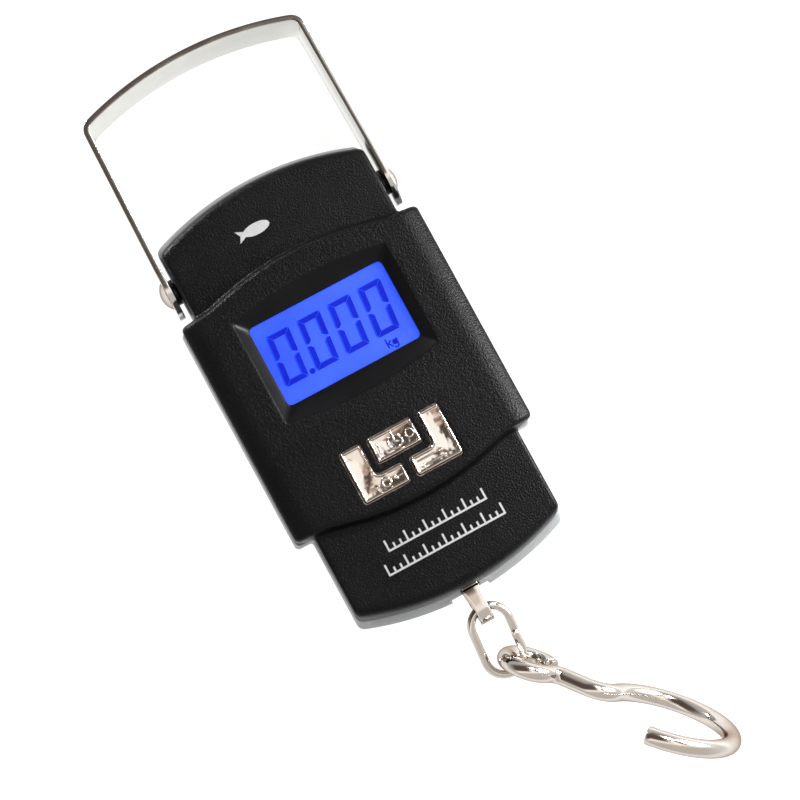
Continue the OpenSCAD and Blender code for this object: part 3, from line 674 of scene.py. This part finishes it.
def domed(name, outline, z0, z1, reach=SYMBOL_R):
    """A prism whose top edge is rounded over by reach."""
    points = [Vector(p).to_2d() for p in outline]
    rings = []
    for edge, share in SYMBOL_SECTION:
        ring = []
        for i, p in enumerate(points):
            way = (points[(i + 1) % len(points)] - points[i - 1]).normalized()
            ring.append(p + Vector((-way.y, way.x)) * reach * edge)
        rings.append([(p.x, p.y, z0 + (z1 - z0) * share) for p in ring])
    return new_object(name, *loft(rings), 50)


def end_cap(before, at, h):
    """Points round the end of a bar, half width h, that comes from before."""
    d = (Vector(at) - Vector(before)).normalized()
    base = math.atan2(d.y, d.x)
    return [Vector(at) + Vector((math.cos(base + a), math.sin(base + a))) * h
            for a in (math.radians(x) for x in (-60, -30, 0, 30, 60))]


def arc_points(cx, cy, r, a0, a1, count):
    """Points along an arc between two angles in degrees."""
    return [(cx + r * math.cos(math.radians(a0 + (a1 - a0) * k / count)),
             cy + r * math.sin(math.radians(a0 + (a1 - a0) * k / count)))
            for k in range(count + 1)]


def triangle(x, y, dx, size):
    """A small solid arrowhead that points along dx."""
    corners = [(x + dx * size, y, 0.2), (x - dx * size * 0.5, y + size * 0.8, 0.2),
               (x - dx * size * 0.5, y - size * 0.8, 0.2)]
    return domed("arrow", fillet(corners[::dx], 3), SYMBOL_LOW, SYMBOL_HIGH)


def button(name, shape, body, icon):
    """A plated cap with a raised rim, and its symbol as a piece of its own."""
    rings = [[(p.x, p.y, z) for p in fillet(inset(shape, d))] for d, z in KEY_SECTION]
    cap = new_object(name + "_cap", *loft(rings), 40)
    raised = join(name + "_symbol", icon)
    place(cap, body, "bright_plating", name)
    place(raised, body, "bright_plating")


def buttons():
    mid = (KEY_TOP + BAR_BOTTOM) / 2
    foot = KEY_BOTTOM + ELL_FOOT / 2
    # power: a broken ring with a bar in it, between an upright bar and a small ring
    button("power_button", BAR, "power_key", [
        stroke(arc_points(0, mid - 0.2, 1.75, 127, 413, 24), 0.62),
        stroke([(0, mid + 0.3), (0, mid + 1.2), (0, mid + 2.1)], 0.62),
        stroke([(-4.2, mid - 1.2), (-4.2, mid), (-4.2, mid + 1.2)], 0.62),
        stroke(arc_points(4.1, mid, 1.05, 0, 358, 20), 0.55)])
    # tare: two arrows that close on a nought
    button("tare_button", ELL_LEFT, "tare_key", [
        stroke(arc_points(-6.5, foot, 1.1, 0, 358, 20), 0.58),
        stroke([(-10.6, foot), (-9.9, foot), (-9.3, foot)], 0.55),
        triangle(-9.1, foot, 1, 1.05),
        stroke([(-2.4, foot), (-3.0, foot), (-3.7, foot)], 0.55),
        triangle(-3.9, foot, -1, 1.05)])
    # unit: one arrow each way
    button("unit_button", ELL_RIGHT, "unit_key", [
        stroke([(2.6, foot + 0.8), (5.0, foot + 0.8), (8.3, foot + 0.8)], 0.52),
        triangle(8.9, foot + 0.8, 1, 0.85),
        stroke([(9.4, foot - 0.8), (7.0, foot - 0.8), (3.9, foot - 0.8)], 0.52),
        triangle(3.3, foot - 0.8, -1, 0.85)])


# ---------------------------------------------------------------- back shell

LOAD_Z, PIVOT_Y = 10.5, 40.5
NOTCH_HALF, NOTCH_D, STEP_HALF, STEP_Y = 2.6, 3.0, 5.4, -60.0
SCREWS = [Matrix.Translation((x, y, 0)) for x in (-20.4, 20.4) for y in (47.2, -47.5)]
WELL_X, WELL_HALF, WELL_LOW, WELL_HIGH = 18.5, 5.6, -30.6, 20.1
DOOR_HALF, DOOR_LOW, DOOR_HIGH, DOOR_R, DOOR_Z = 26.15, -33.55, 22.75, 0.6, 1.6
# Height, and how far the sides and the ends stand out past the neck at that height
BACK_LEVELS = [(13.0, 0.1, 0.1), (12.85, 0.22, 0.3), (8.6, 0.55, 1.9), (8.0, 0.59, 2.06),
               (7.2, 0.6, 2.1), (4.4, 0.6, 2.1), (3.4, 0.52, 1.98), (2.4, 0.25, 1.6),
               (1.4, -0.2, 1.05), (0.7, -0.6, 0.6), (0.25, -1.0, 0.2), (0.0, -1.6, -0.4)]


def back_outline(side, end):
    """Outline of the back shell where it stands out by side and end."""
    half = NECK_HALF + side
    wide = BULGE_HALF + side
    y = BULGE_Y + max(side, 0) + 0.1
    top, bottom = NECK_END[1] + end, NECK_END[-1] + end
    count = 24

    def ends(sign, corner):
        xs = [half * (1 - 2 * k / count) for k in range(1, count)]
        return [(sign * x, sign * (corner + chord_arc(x, half, NECK_RISE)), 0) for x in xs]

    r = 2.2 + min(side, 0) * 0.3
    corners = [(half, top, r)] + ends(1, top) + [
        (-half, top, r), (-half, y, 0.8), (-wide, y, 1.3), (-wide, -y, 1.3), (-half, -y, 0.8),
        (-half, -bottom, r)] + ends(-1, bottom) + [
        (half, -bottom, r), (half, -y, 0.8), (wide, -y, 1.3), (wide, y, 1.3), (half, y, 0.8)]
    return fillet(corners, 5)


def back_shell():
    """A lofted tray with wells for the cells, posts for the screws and a notch for the stem."""
    rings = [[(p.x, p.y, z) for p in back_outline(side, end)]
             for z, side, end in reversed(BACK_LEVELS)]
    for z in (13.0, 8.0, 4.0, 2.4, 2.0):
        base = ease([(2.0, -0.8), (4.0, 0.0), (8.0, 0.0), (13.0, -0.2)], z)
        rings.append([(p.x, p.y, z) for p in back_outline(base - WALL, base - WALL + 0.4)])
    shell = new_object("back_shell_skin", *loft(rings), 35)
    wells = [(sx * WELL_X - WELL_HALF, sx * WELL_X + WELL_HALF) for sx in (-1, 1)]
    adds = [block("well", (a - 0.9, WELL_LOW - 0.9, 0.5), (b + 0.9, WELL_HIGH + 0.9, 14.0))
            for a, b in wells]
    adds.append(block("bay", (-27, -35, 0.5), (27, 24.2, 3)))
    adds += [rod("post", at, 3.6, 1, 13) for at in SCREWS]
    boolean(shell, adds, "UNION")
    cuts = [block("well", (a, WELL_LOW, -1), (b, WELL_HIGH, 13.1)) for a, b in wells]
    cuts += [block("tab_slot", (sx * WELL_X - 1, 19.4, 12.1), (sx * WELL_X + 1, WELL_HIGH, 15))
             for sx in (-1, 1)]
    door = [(-DOOR_HALF, DOOR_LOW, DOOR_R), (DOOR_HALF, DOOR_LOW, DOOR_R),
            (DOOR_HALF, DOOR_HIGH, DOOR_R), (-DOOR_HALF, DOOR_HIGH, DOOR_R)]
    cuts.append(prism("pocket", fillet(door), -1, DOOR_Z))
    cuts.append(lathe("scoop", [(max(6.6 * math.cos(math.radians(a)), 0),
                                 6.6 * math.sin(math.radians(a)))
                                for a in range(-90, 91, 9)],
                      Matrix.Translation((0, -34.4, -5))))
    screw_hole = [(2.85, -1), (2.85, 0.0), (2.6, 0.25), (2.6, 3), (1.5, 3.01), (1.5, 14)]
    cuts += [lathe("screw_hole", screw_hole, at) for at in SCREWS]
    cuts += [rod("pivot_hole", across(PIVOT_Y), 2.24, sx * 30 - 3, sx * 30 + 3) for sx in (-1, 1)]
    cuts.append(block("notch", (-NOTCH_HALF, -66, LOAD_Z - NOTCH_D),
                      (NOTCH_HALF, -50, JOINT_Z + 1)))
    cuts.append(block("step", (-STEP_HALF, -70, -1), (STEP_HALF, STEP_Y, JOINT_Z + 1)))
    boolean(shell, cuts, "DIFFERENCE")
    clean(shell, 35)
    place(shell, "body", "silver_abs", "back_shell")


# ---------------------------------------------------------------- bail and rivets

BAIL_HALF, BAIL_TOP, BAIL_RISE, BAIL_T, STRIP = 31.6, 92.5, 4.4, 1.5, 16.0
BAIL_CORNER, BAIL_LEAN, LEAN_Y = 3.8, 0.7, 47.0
LEG_END_Y = PIVOT_Y + 1


def bail():
    """Flat strip bent over two corners and a shallow arch."""
    middle = BAIL_T / 2
    half, corner = BAIL_HALF - middle, BAIL_CORNER - middle
    chord = half - BAIL_LEAN - corner
    r = (((BAIL_HALF - BAIL_CORNER) ** 2 + BAIL_RISE ** 2) / (2 * BAIL_RISE)) - middle
    tilt = math.asin(chord / (r - corner))
    centre = Vector((0, BAIL_TOP - middle - r, LOAD_Z))
    knee = centre + Vector((chord, (r - corner) * math.cos(tilt), 0))
    foot = LEG_END_Y - STRIP / 2
    right = [Vector((half, foot + d, LOAD_Z))
             for d in (0, 0.08, 0.3, 0.7, 1.3, 2.1, 3.1, 4.3, 5.6, 6.8, 8)]
    top = knee + Vector((corner, 0, 0))
    start = Vector((half, LEAN_Y, LOAD_Z))
    right += [start + (top - start) * k / 5 for k in range(5)]
    bend, arch = 12, 32
    right += [knee + Vector((math.cos(a), math.sin(a), 0)) * corner
              for a in ((math.pi / 2 - tilt) * k / bend for k in range(bend + 1))]
    right += [centre + Vector((math.sin(a), math.cos(a), 0)) * r
              for a in (tilt * (1 - k / arch) for k in range(1, arch))]
    left = [Vector((-p.x, p.y, p.z)) for p in reversed(right)]
    points = right + [centre + Vector((0, r, 0))] + left

    def section(i):
        """Rounded oblong, narrowed into a half circle at each end."""
        d = points[i].y - foot
        h = STRIP / 2
        w = math.sqrt(max(h * h - (h - d) ** 2, 0.04)) if d < h else h
        e = min(0.13, w * 0.8)
        m = middle
        corners = [(m, -w, e), (m, w, e), (-m, w, e), (-m, -w, e)]
        return [(p.x, p.y) for p in fillet(corners, 4)]

    strip = new_object("bail_strip", *loft(sweep(points, Vector((0, 0, 1)), section)), 40)
    boolean(strip, [rod("hole", across(PIVOT_Y), 1.86, sx * 31 - 3, sx * 31 + 3)
                    for sx in (-1, 1)], "DIFFERENCE")
    clean(strip, 40)
    place(strip, "bail", "polished_steel", "bail", finish="bail_steel")


def rivets():
    """Two dome-head rivets through the bail's eyes."""
    dome_r, dome_h, seat = 3.75, 1.6, BAIL_HALF + 0.1
    ball = (dome_r ** 2 + dome_h ** 2) / (2 * dome_h)
    edge = math.asin(dome_r / ball)
    shape = [(0, 22.3), (2.9, 22.3), (3.2, 22.6), (3.2, 23.5), (1.8, 23.5), (1.8, seat),
             (3.55, seat), (3.72, seat + 0.06)]
    shape += [(ball * math.sin(a), seat + dome_h - ball + ball * math.cos(a))
              for a in (edge * (1 - k / 14) * 0.985 for k in range(15))]
    parts = [lathe("rivet", shape, across(PIVOT_Y, turn)) for turn in (90, -90)]
    place(join("rivet_domes", parts), "body", "polished_steel", "bail_rivets")


# ---------------------------------------------------------------- link and hook

def wire(name, points, normal, radius, count, chamfer):
    """Round wire along a flat path, with eased cut ends."""
    first = (points[1] - points[0]).normalized()
    last = (points[-1] - points[-2]).normalized()
    ends = [(0, radius - chamfer), (chamfer * 0.35, radius - chamfer * 0.35),
            (chamfer, radius)]
    path = [points[0] + first * d for d, _ in ends] + points[1:-1] + [
        points[-1] - last * d for d, _ in reversed(ends)]
    radii = [r for _, r in ends] + [radius] * (len(points) - 2) + [r for _, r in reversed(ends)]
    rings = sweep(path, normal, lambda i: circle(radii[i], count))
    return new_object(name, *loft(rings), 50)


LINK_R, LINK_STRAIGHT, LINK_WIRE = 4.94, 8.3, 2.1
STEM_HOLE = Vector((0, -65.1, LOAD_Z))
LINK_AT = STEM_HOLE + Vector((0.6, 0, 0))


def chain_link():
    """Oval of wire whose two cut ends meet on one leg."""
    turn = (Matrix.Rotation(math.radians(-4), 3, "Z")
            @ Matrix.Rotation(math.radians(12.2), 3, "X"))
    half = LINK_STRAIGHT / 2
    joint, gap, slip = 0.6, 0.1, 0.2
    flat = [(LINK_R, joint + gap), (LINK_R, joint + 1.0), (LINK_R, 2.5), (LINK_R, half - 0.6)]
    steps = 26
    flat += [(LINK_R * math.cos(a), half + LINK_R * math.sin(a))
             for a in (math.pi * k / steps for k in range(steps + 1))]
    flat += [(-LINK_R, half * k / 3) for k in (2, 1, 0, -1, -2)]
    flat += [(-LINK_R * math.cos(a), -half - LINK_R * math.sin(a))
             for a in (math.pi * k / steps for k in range(steps + 1))]
    flat += [(LINK_R - slip * 0.3, -half + 1.2), (LINK_R - slip, joint - 1.2),
             (LINK_R - slip, joint - gap)]
    points = [LINK_AT + turn @ Vector((x, y - LINK_R - half, 0)) for x, y in flat]
    ring = wire("oval_link", points, turn @ Vector((0, 0, 1)), LINK_WIRE / 2, 24, 0.12)
    place(ring, "link", "polished_steel", "chain_link")


HOOK_AT = Vector((24.9, -108.9, 21.8))
HOOK_TILT = (107.8, 0.4, -43.5)
EYE_AT, EYE_R, EYE_START = Vector((-32.7, -14.6)), 6.15, -25.0
# From the eye's closed end to the tip: (turn in degrees, radius) or (0, length)
HOOK_BENDS = [(-293, EYE_R), (75, 3.6), (0, 6.05), (-76, 6.23), (251, 16.3)]
HOOK_WIRE = 4.5


def hook():
    """Wire bent in one plane: a closed eye, a kink and the wide bend."""
    rx, ry, rz = (math.radians(a) for a in HOOK_TILT)
    turn = (Matrix.Rotation(rz, 3, "Z") @ Matrix.Rotation(ry, 3, "Y")
            @ Matrix.Rotation(rx, 3, "X"))
    a0 = math.radians(EYE_START)
    at = EYE_AT + EYE_R * Vector((math.cos(a0), math.sin(a0)))
    head = math.radians(EYE_START - 90)
    flat = [at.copy()]
    for bend, size in HOOK_BENDS:
        if bend == 0:
            step = Vector((math.cos(head), math.sin(head))) * size
            flat += [at + step * k / 3 for k in (1, 2, 3)]
            at = at + step
            continue
        s = math.copysign(1, bend)
        centre = at + s * size * Vector((-math.sin(head), math.cos(head)))
        count = math.ceil(abs(bend) / 5)
        for k in range(1, count + 1):
            a = head + math.radians(bend) * k / count
            flat.append(centre + s * size * Vector((math.sin(a), -math.cos(a))))
        head += math.radians(bend)
        at = flat[-1].copy()
    points = [HOOK_AT + turn @ Vector((p.x, p.y, 0)) for p in flat]
    bent = wire("wire_hook", points, turn @ Vector((0, 0, 1)), HOOK_WIRE / 2, 36, 0.3)
    place(bent, "hook", "polished_steel", "hook")


def stem():
    """Bar that is wide where it leaves the shell and tapers to a flat, drilled end."""
    half_w, end_r, shank_r = 1.8, 3.8, 1.9
    # Along the bar: distance, half width, height above and below, how round its section is
    spans = [(12.0, shank_r, shank_r, shank_r, 0.98), (-50.0, shank_r, shank_r, shank_r, 0.98),
             (-51.2, 2.2, 2.0, 2.0, 0.9), (-52.0, 2.4, 2.1, 2.1, 0.4),
             (-59.05, 2.4, 2.2, 2.2, 0.35), (-59.35, 2.36, 3.55, 2.25, 0.3),
             (-59.6, 2.34, 3.75, 2.35, 0.3), (-60.1, 2.3, end_r, 2.5, 0.3),
             (-61.4, 2.16, end_r, 3.7, 0.33), (-63.6, 1.95, end_r, end_r, 0.36),
             (STEM_HOLE.y, half_w, end_r, end_r, 0.38)]
    spans += [(STEM_HOLE.y - end_r * math.sin(a), half_w, end_r * math.cos(a),
               end_r * math.cos(a), 0.38)
              for a in (math.radians(x) for x in (12, 24, 36, 48, 58, 68, 77, 84, 88))]
    rings = []
    for y, w, up, down, soft in spans:
        r = min(w, up, down) * soft
        shape = fillet([(w, -down, r), (w, up, r), (-w, up, r), (-w, -down, r)], 5)
        rings.append([(p.x, y, LOAD_Z + p.y) for p in shape])
    bar = new_object("tapered_stem", *loft(rings), 30)
    bore = [(2.35, -3), (2.35, -half_w - 0.01), (2.1, -half_w + 0.2), (2.0, -half_w + 0.4),
            (2.0, half_w - 0.4), (2.1, half_w - 0.2), (2.35, half_w + 0.01), (2.35, 3)]
    boolean(bar, [lathe("bore", bore, across(STEM_HOLE.y), 48)], "DIFFERENCE")
    clean(bar, 30)
    place(bar, "body", "polished_steel", "hook_stem")


# ---------------------------------------------------------------- display and print

FIGURE_Z, SHADOW_Z, THIN = 21.33, 21.305, 0.02
SLANT = math.tan(math.radians(5.6))
LETTER = 0.42                    # width of the strokes of the unit's letters


def digit(x, y, z):
    """Six mitred bars of a seven-bar nought whose lower left corner is at x, y."""
    height, width, t, gap = 13.2, 6.0, 1.3, 0.12
    mid, cut = height / 2, 0.3
    top = [(gap, height), (width - gap, height), (width - t - gap * 0.4, height - t),
           (t + gap * 0.4, height - t)]
    side = [(width, height - gap * 1.6), (width, mid + cut), (width - t * 0.45, mid + cut),
            (width - t, mid + cut + t * 0.5), (width - t, height - t - gap)]
    bars = [top, [(px, height - py) for px, py in top], side,
            [(width - px, py) for px, py in side], [(px, height - py) for px, py in side],
            [(width - px, height - py) for px, py in side]]
    return [prism("segment", [(x + px + SLANT * py, y + py) for px, py in bar], z, z + THIN)
            for bar in bars]


def display():
    """Four noughts over their shadows, a point, and a small k and g under the last figure."""
    pieces, shadows = [], []
    for x in (-16.5, -7.95, 0.5, 8.95):
        pieces += digit(x, 5.0, FIGURE_Z)
        shadows += digit(x - 0.4, 5.15, SHADOW_Z)
    place(join("lcd_shadows", shadows), "body", "lcd_blue", finish="lcd_shadow")
    pieces.append(prism("point", [(-9.2 + 0.75 * math.cos(a), 5.6 + 0.75 * math.sin(a))
                                  for a in (math.pi * k / 8 for k in range(16))],
                        FIGURE_Z, FIGURE_Z + THIN))
    k_x, g_x, y = 10.1, 12.0, 1.7
    letters = [[(k_x, y), (k_x, y + 1.0), (k_x, y + 2.2)],
               [(k_x + 1.0, y + 1.5), (k_x + 0.55, y + 1.1), (k_x + 0.2, y + 0.8)],
               [(k_x + 0.35, y + 0.9), (k_x + 0.7, y + 0.45), (k_x + 1.05, y)],
               arc_points(g_x + 0.1, y + 0.75, 0.55, 20, 340, 12),
               [(g_x + 0.7, y + 1.4), (g_x + 0.7, y + 0.3), (g_x + 0.6, y - 0.4),
                (g_x + 0.1, y - 0.65), (g_x - 0.4, y - 0.5)]]
    # each stroke ends a little higher than the last, so that no two tops share a plane
    pieces += [stroke(line, LETTER, FIGURE_Z, FIGURE_Z + THIN + 0.001 * i)
               for i, line in enumerate(letters)]
    place(join("lcd_figures", pieces), "body", "lcd_blue", finish="lcd_segments")


def prints():
    """Plain printed marks: a fish above the display, two graduated bars below."""
    low, high = NECK_Z - 0.01, NECK_Z + 0.03
    fish_x, fish_y = -4.6, 43.5
    body = [(fish_x + 3.6 * math.cos(a), fish_y + 1.5 * math.sin(a))
            for a in (math.radians(x) for x in range(-152, 153, 8))]
    tail = [(fish_x - 5.2, fish_y + 1.6), (fish_x - 4.4, fish_y), (fish_x - 5.2, fish_y - 1.6)]
    pieces = [prism("fish", body + tail, low, high)]
    half = 0.25                      # half the width of every printed line
    for y, x0, x1, count in ((-42.3, -13.9, 13.5, 15), (-47.6, -16.6, 15.9, 18)):
        pieces.append(block("line", (x0, y, low), (x1, y + 2 * half, high)))
        for k in range(count + 1):
            x = x0 + half + (x1 - x0 - 2 * half) * k / count
            pieces.append(block("tick", (x - half, y + 0.4, low),
                                (x + half, y + (3.1 if k % 3 == 0 else 1.7), high + 0.002)))
    place(join("printed_marks", pieces), "body", "black_abs", finish="white_print")


# ---------------------------------------------------------------- carried-over CAD nodes

# Width of the rounding on each node's edges, in millimetres
SOFT_NODES = {
    "battery_door": 0.2, "display_window": 0.15, "lcd_glass": 0.1, "lcd_frame": 0.15,
    "circuit_board": 0.08, "zebra_strips": 0.1, "switch_bodies": 0.15, "load_cell": 0.25,
    "hanger_bracket": 0.25, "stem_nut": 0.3, "pivot_bushes": 0.2,
    "rivet_washers": 0.08, "shell_screws": 0.12, "board_screws": 0.1, "battery_cells": 0.4,
    "battery_contacts": 0.06, "bracket_bolt": 0.25, "board_components": 0.1,
    "backlight_panel": 0.1, "backlight_leds": 0.05, "gauge_sealant": 0.4,
    "power_plunger": 0.15, "tare_plunger": 0.15, "unit_plunger": 0.15,
}


def carried_nodes():
    """The CAD nodes that stay: each gets its slot's finish, most get rounded edges."""
    slots = {row["node"]: row["material_slot"] for row in frame["record"]["subparts"]}
    for name, obj in nodes.items():
        obj.data.materials.clear()
        obj.data.materials.append(MATERIALS[slots[name]])
        if name in SOFT_NODES:
            soften(obj, SOFT_NODES[name])


# ---------------------------------------------------------------- camera, light, floor

def camera():
    """Overhead view: towards the body, from a little to its left and its hook end."""
    lens, distance = 100.7, 554.8
    target = Vector((6.76, -10.36, 15.0))
    yaw, pitch, roll = (math.radians(a) for a in (4.73, 4.40, 28.64))
    back = Vector((-math.sin(yaw) * math.cos(pitch), -math.sin(pitch),
                   math.cos(yaw) * math.cos(pitch)))
    side = Vector((0, 1, 0)).cross(back).normalized()
    up = back.cross(side)
    right = side * math.cos(roll) - up * math.sin(roll)
    top = side * math.sin(roll) + up * math.cos(roll)
    data = bpy.data.cameras.new("camera")
    data.lens, data.sensor_width = lens, 36
    data.clip_start, data.clip_end = 0.01, 50
    cam = bpy.data.objects.new("camera", data)
    cam.matrix_world = (Matrix.Translation((target + back * distance) * MM)
                        @ Matrix((right, top, back)).transposed().to_4x4())
    scene.collection.objects.link(cam)
    scene.camera = cam


def floor():
    """A plain pale floor just under the scale."""
    low = cad_box[0].z - 0.0002
    size = 3.0
    mesh = bpy.data.meshes.new("floor")
    mesh.from_pydata([(-size, -size, low), (size, -size, low), (size, size, low),
                      (-size, size, low)], [], [(0, 1, 2, 3)])
    plane = bpy.data.objects.new("floor", mesh)
    scene.collection.objects.link(plane)
    mesh.materials.append(MATERIALS["floor_white"])


def spread_ramp(tree, source, stops):
    """Colour ramp over a value that runs from -1 to 1."""
    shift = add(tree, "MapRange", Value=source, From_Min=-1, From_Max=1)
    return colour_ramp(tree, shift.outputs["Result"],
                       [((at + 1) / 2, colour) for at, colour in stops])


def blend(tree, factor, a, b, kind="MIX"):
    node = tree.nodes.new("ShaderNodeMix")
    node.data_type, node.blend_type = "RGBA", kind
    for name, value in (("Factor", factor), ("A", a), ("B", b)):
        feed(tree, node.inputs[name], value)
    return node.outputs["Result"]


def world():
    """A light tent: pale walls, and overhead a dark strip beside a bright one."""
    sky = bpy.data.worlds.new("tent")
    scene.world = sky
    sky.use_nodes = True
    tree = sky.node_tree
    where = add(tree, "TexCoord").outputs["Generated"]
    x, y, z = add(tree, "SeparateXYZ", Vector=where).outputs
    black, white, brown = (0, 0, 0), (1, 1, 1), (0.13, 0.1, 0.082)
    walls = spread_ramp(tree, x, [(-1, (0.68, 0.68, 0.67)), (0.2, (0.74, 0.74, 0.74)),
                                  (1, white)])
    overhead = spread_ramp(tree, y, [
        (-1, (0.75, 0.7, 0.66)), (-0.35, (0.8, 0.75, 0.7)), (-0.2, (1.4, 1.35, 1.3)),
        (-0.06, (1.4, 1.3, 1.2)), (0.0, (0.75, 0.55, 0.46)), (0.06, brown), (0.66, brown),
        (0.8, (0.5, 0.47, 0.45)), (1, (0.6, 0.6, 0.6))])
    height = spread_ramp(tree, z, [(-1, black), (0.15, black), (0.6, white), (1, white)])
    tent = blend(tree, height, walls, overhead)
    # a bright panel overhead to the right
    wide = spread_ramp(tree, x, [(0.13, black), (0.16, white), (0.4, white), (0.5, black)])
    deep = spread_ramp(tree, y, [(-0.2, black), (-0.1, white), (0.225, white), (0.245, black)])
    panel = calc(tree, "MULTIPLY", blend(tree, 1, wide, deep, "MULTIPLY"), height)
    feed(tree, tree.nodes["Background"].inputs["Color"],
         blend(tree, panel, tent, (1.6, 1.57, 1.52, 1)))


def light(name, at, aim, size, power):
    data = bpy.data.lights.new(name, "AREA")
    data.shape, data.size, data.energy = "DISK", size, power
    lamp = bpy.data.objects.new(name, data)
    lamp.location = at
    lamp.rotation_mode = "QUATERNION"
    lamp.rotation_quaternion = (Vector(aim) - Vector(at)).to_track_quat("-Z", "Y")
    scene.collection.objects.link(lamp)


def lights():
    light("right_soft", (0.24, -0.06, 0.15), (0.02, -0.02, 0.02), 0.14, 2.6)
    light("right_high", (0.36, 0.2, 0.5), (0.02, 0, 0.02), 0.12, 3.0)
    light("far_low", (-0.35, 0.8, 0.1), (0, 0.02, 0.02), 0.2, 15.0)


scene.view_settings.view_transform = "Standard"
scene.view_settings.look = "None"
camera()
world()
lights()
floor()
carried_nodes()
front_shell()
back_shell()
buttons()
bail()
rivets()
stem()
chain_link()
hook()
display()
prints()
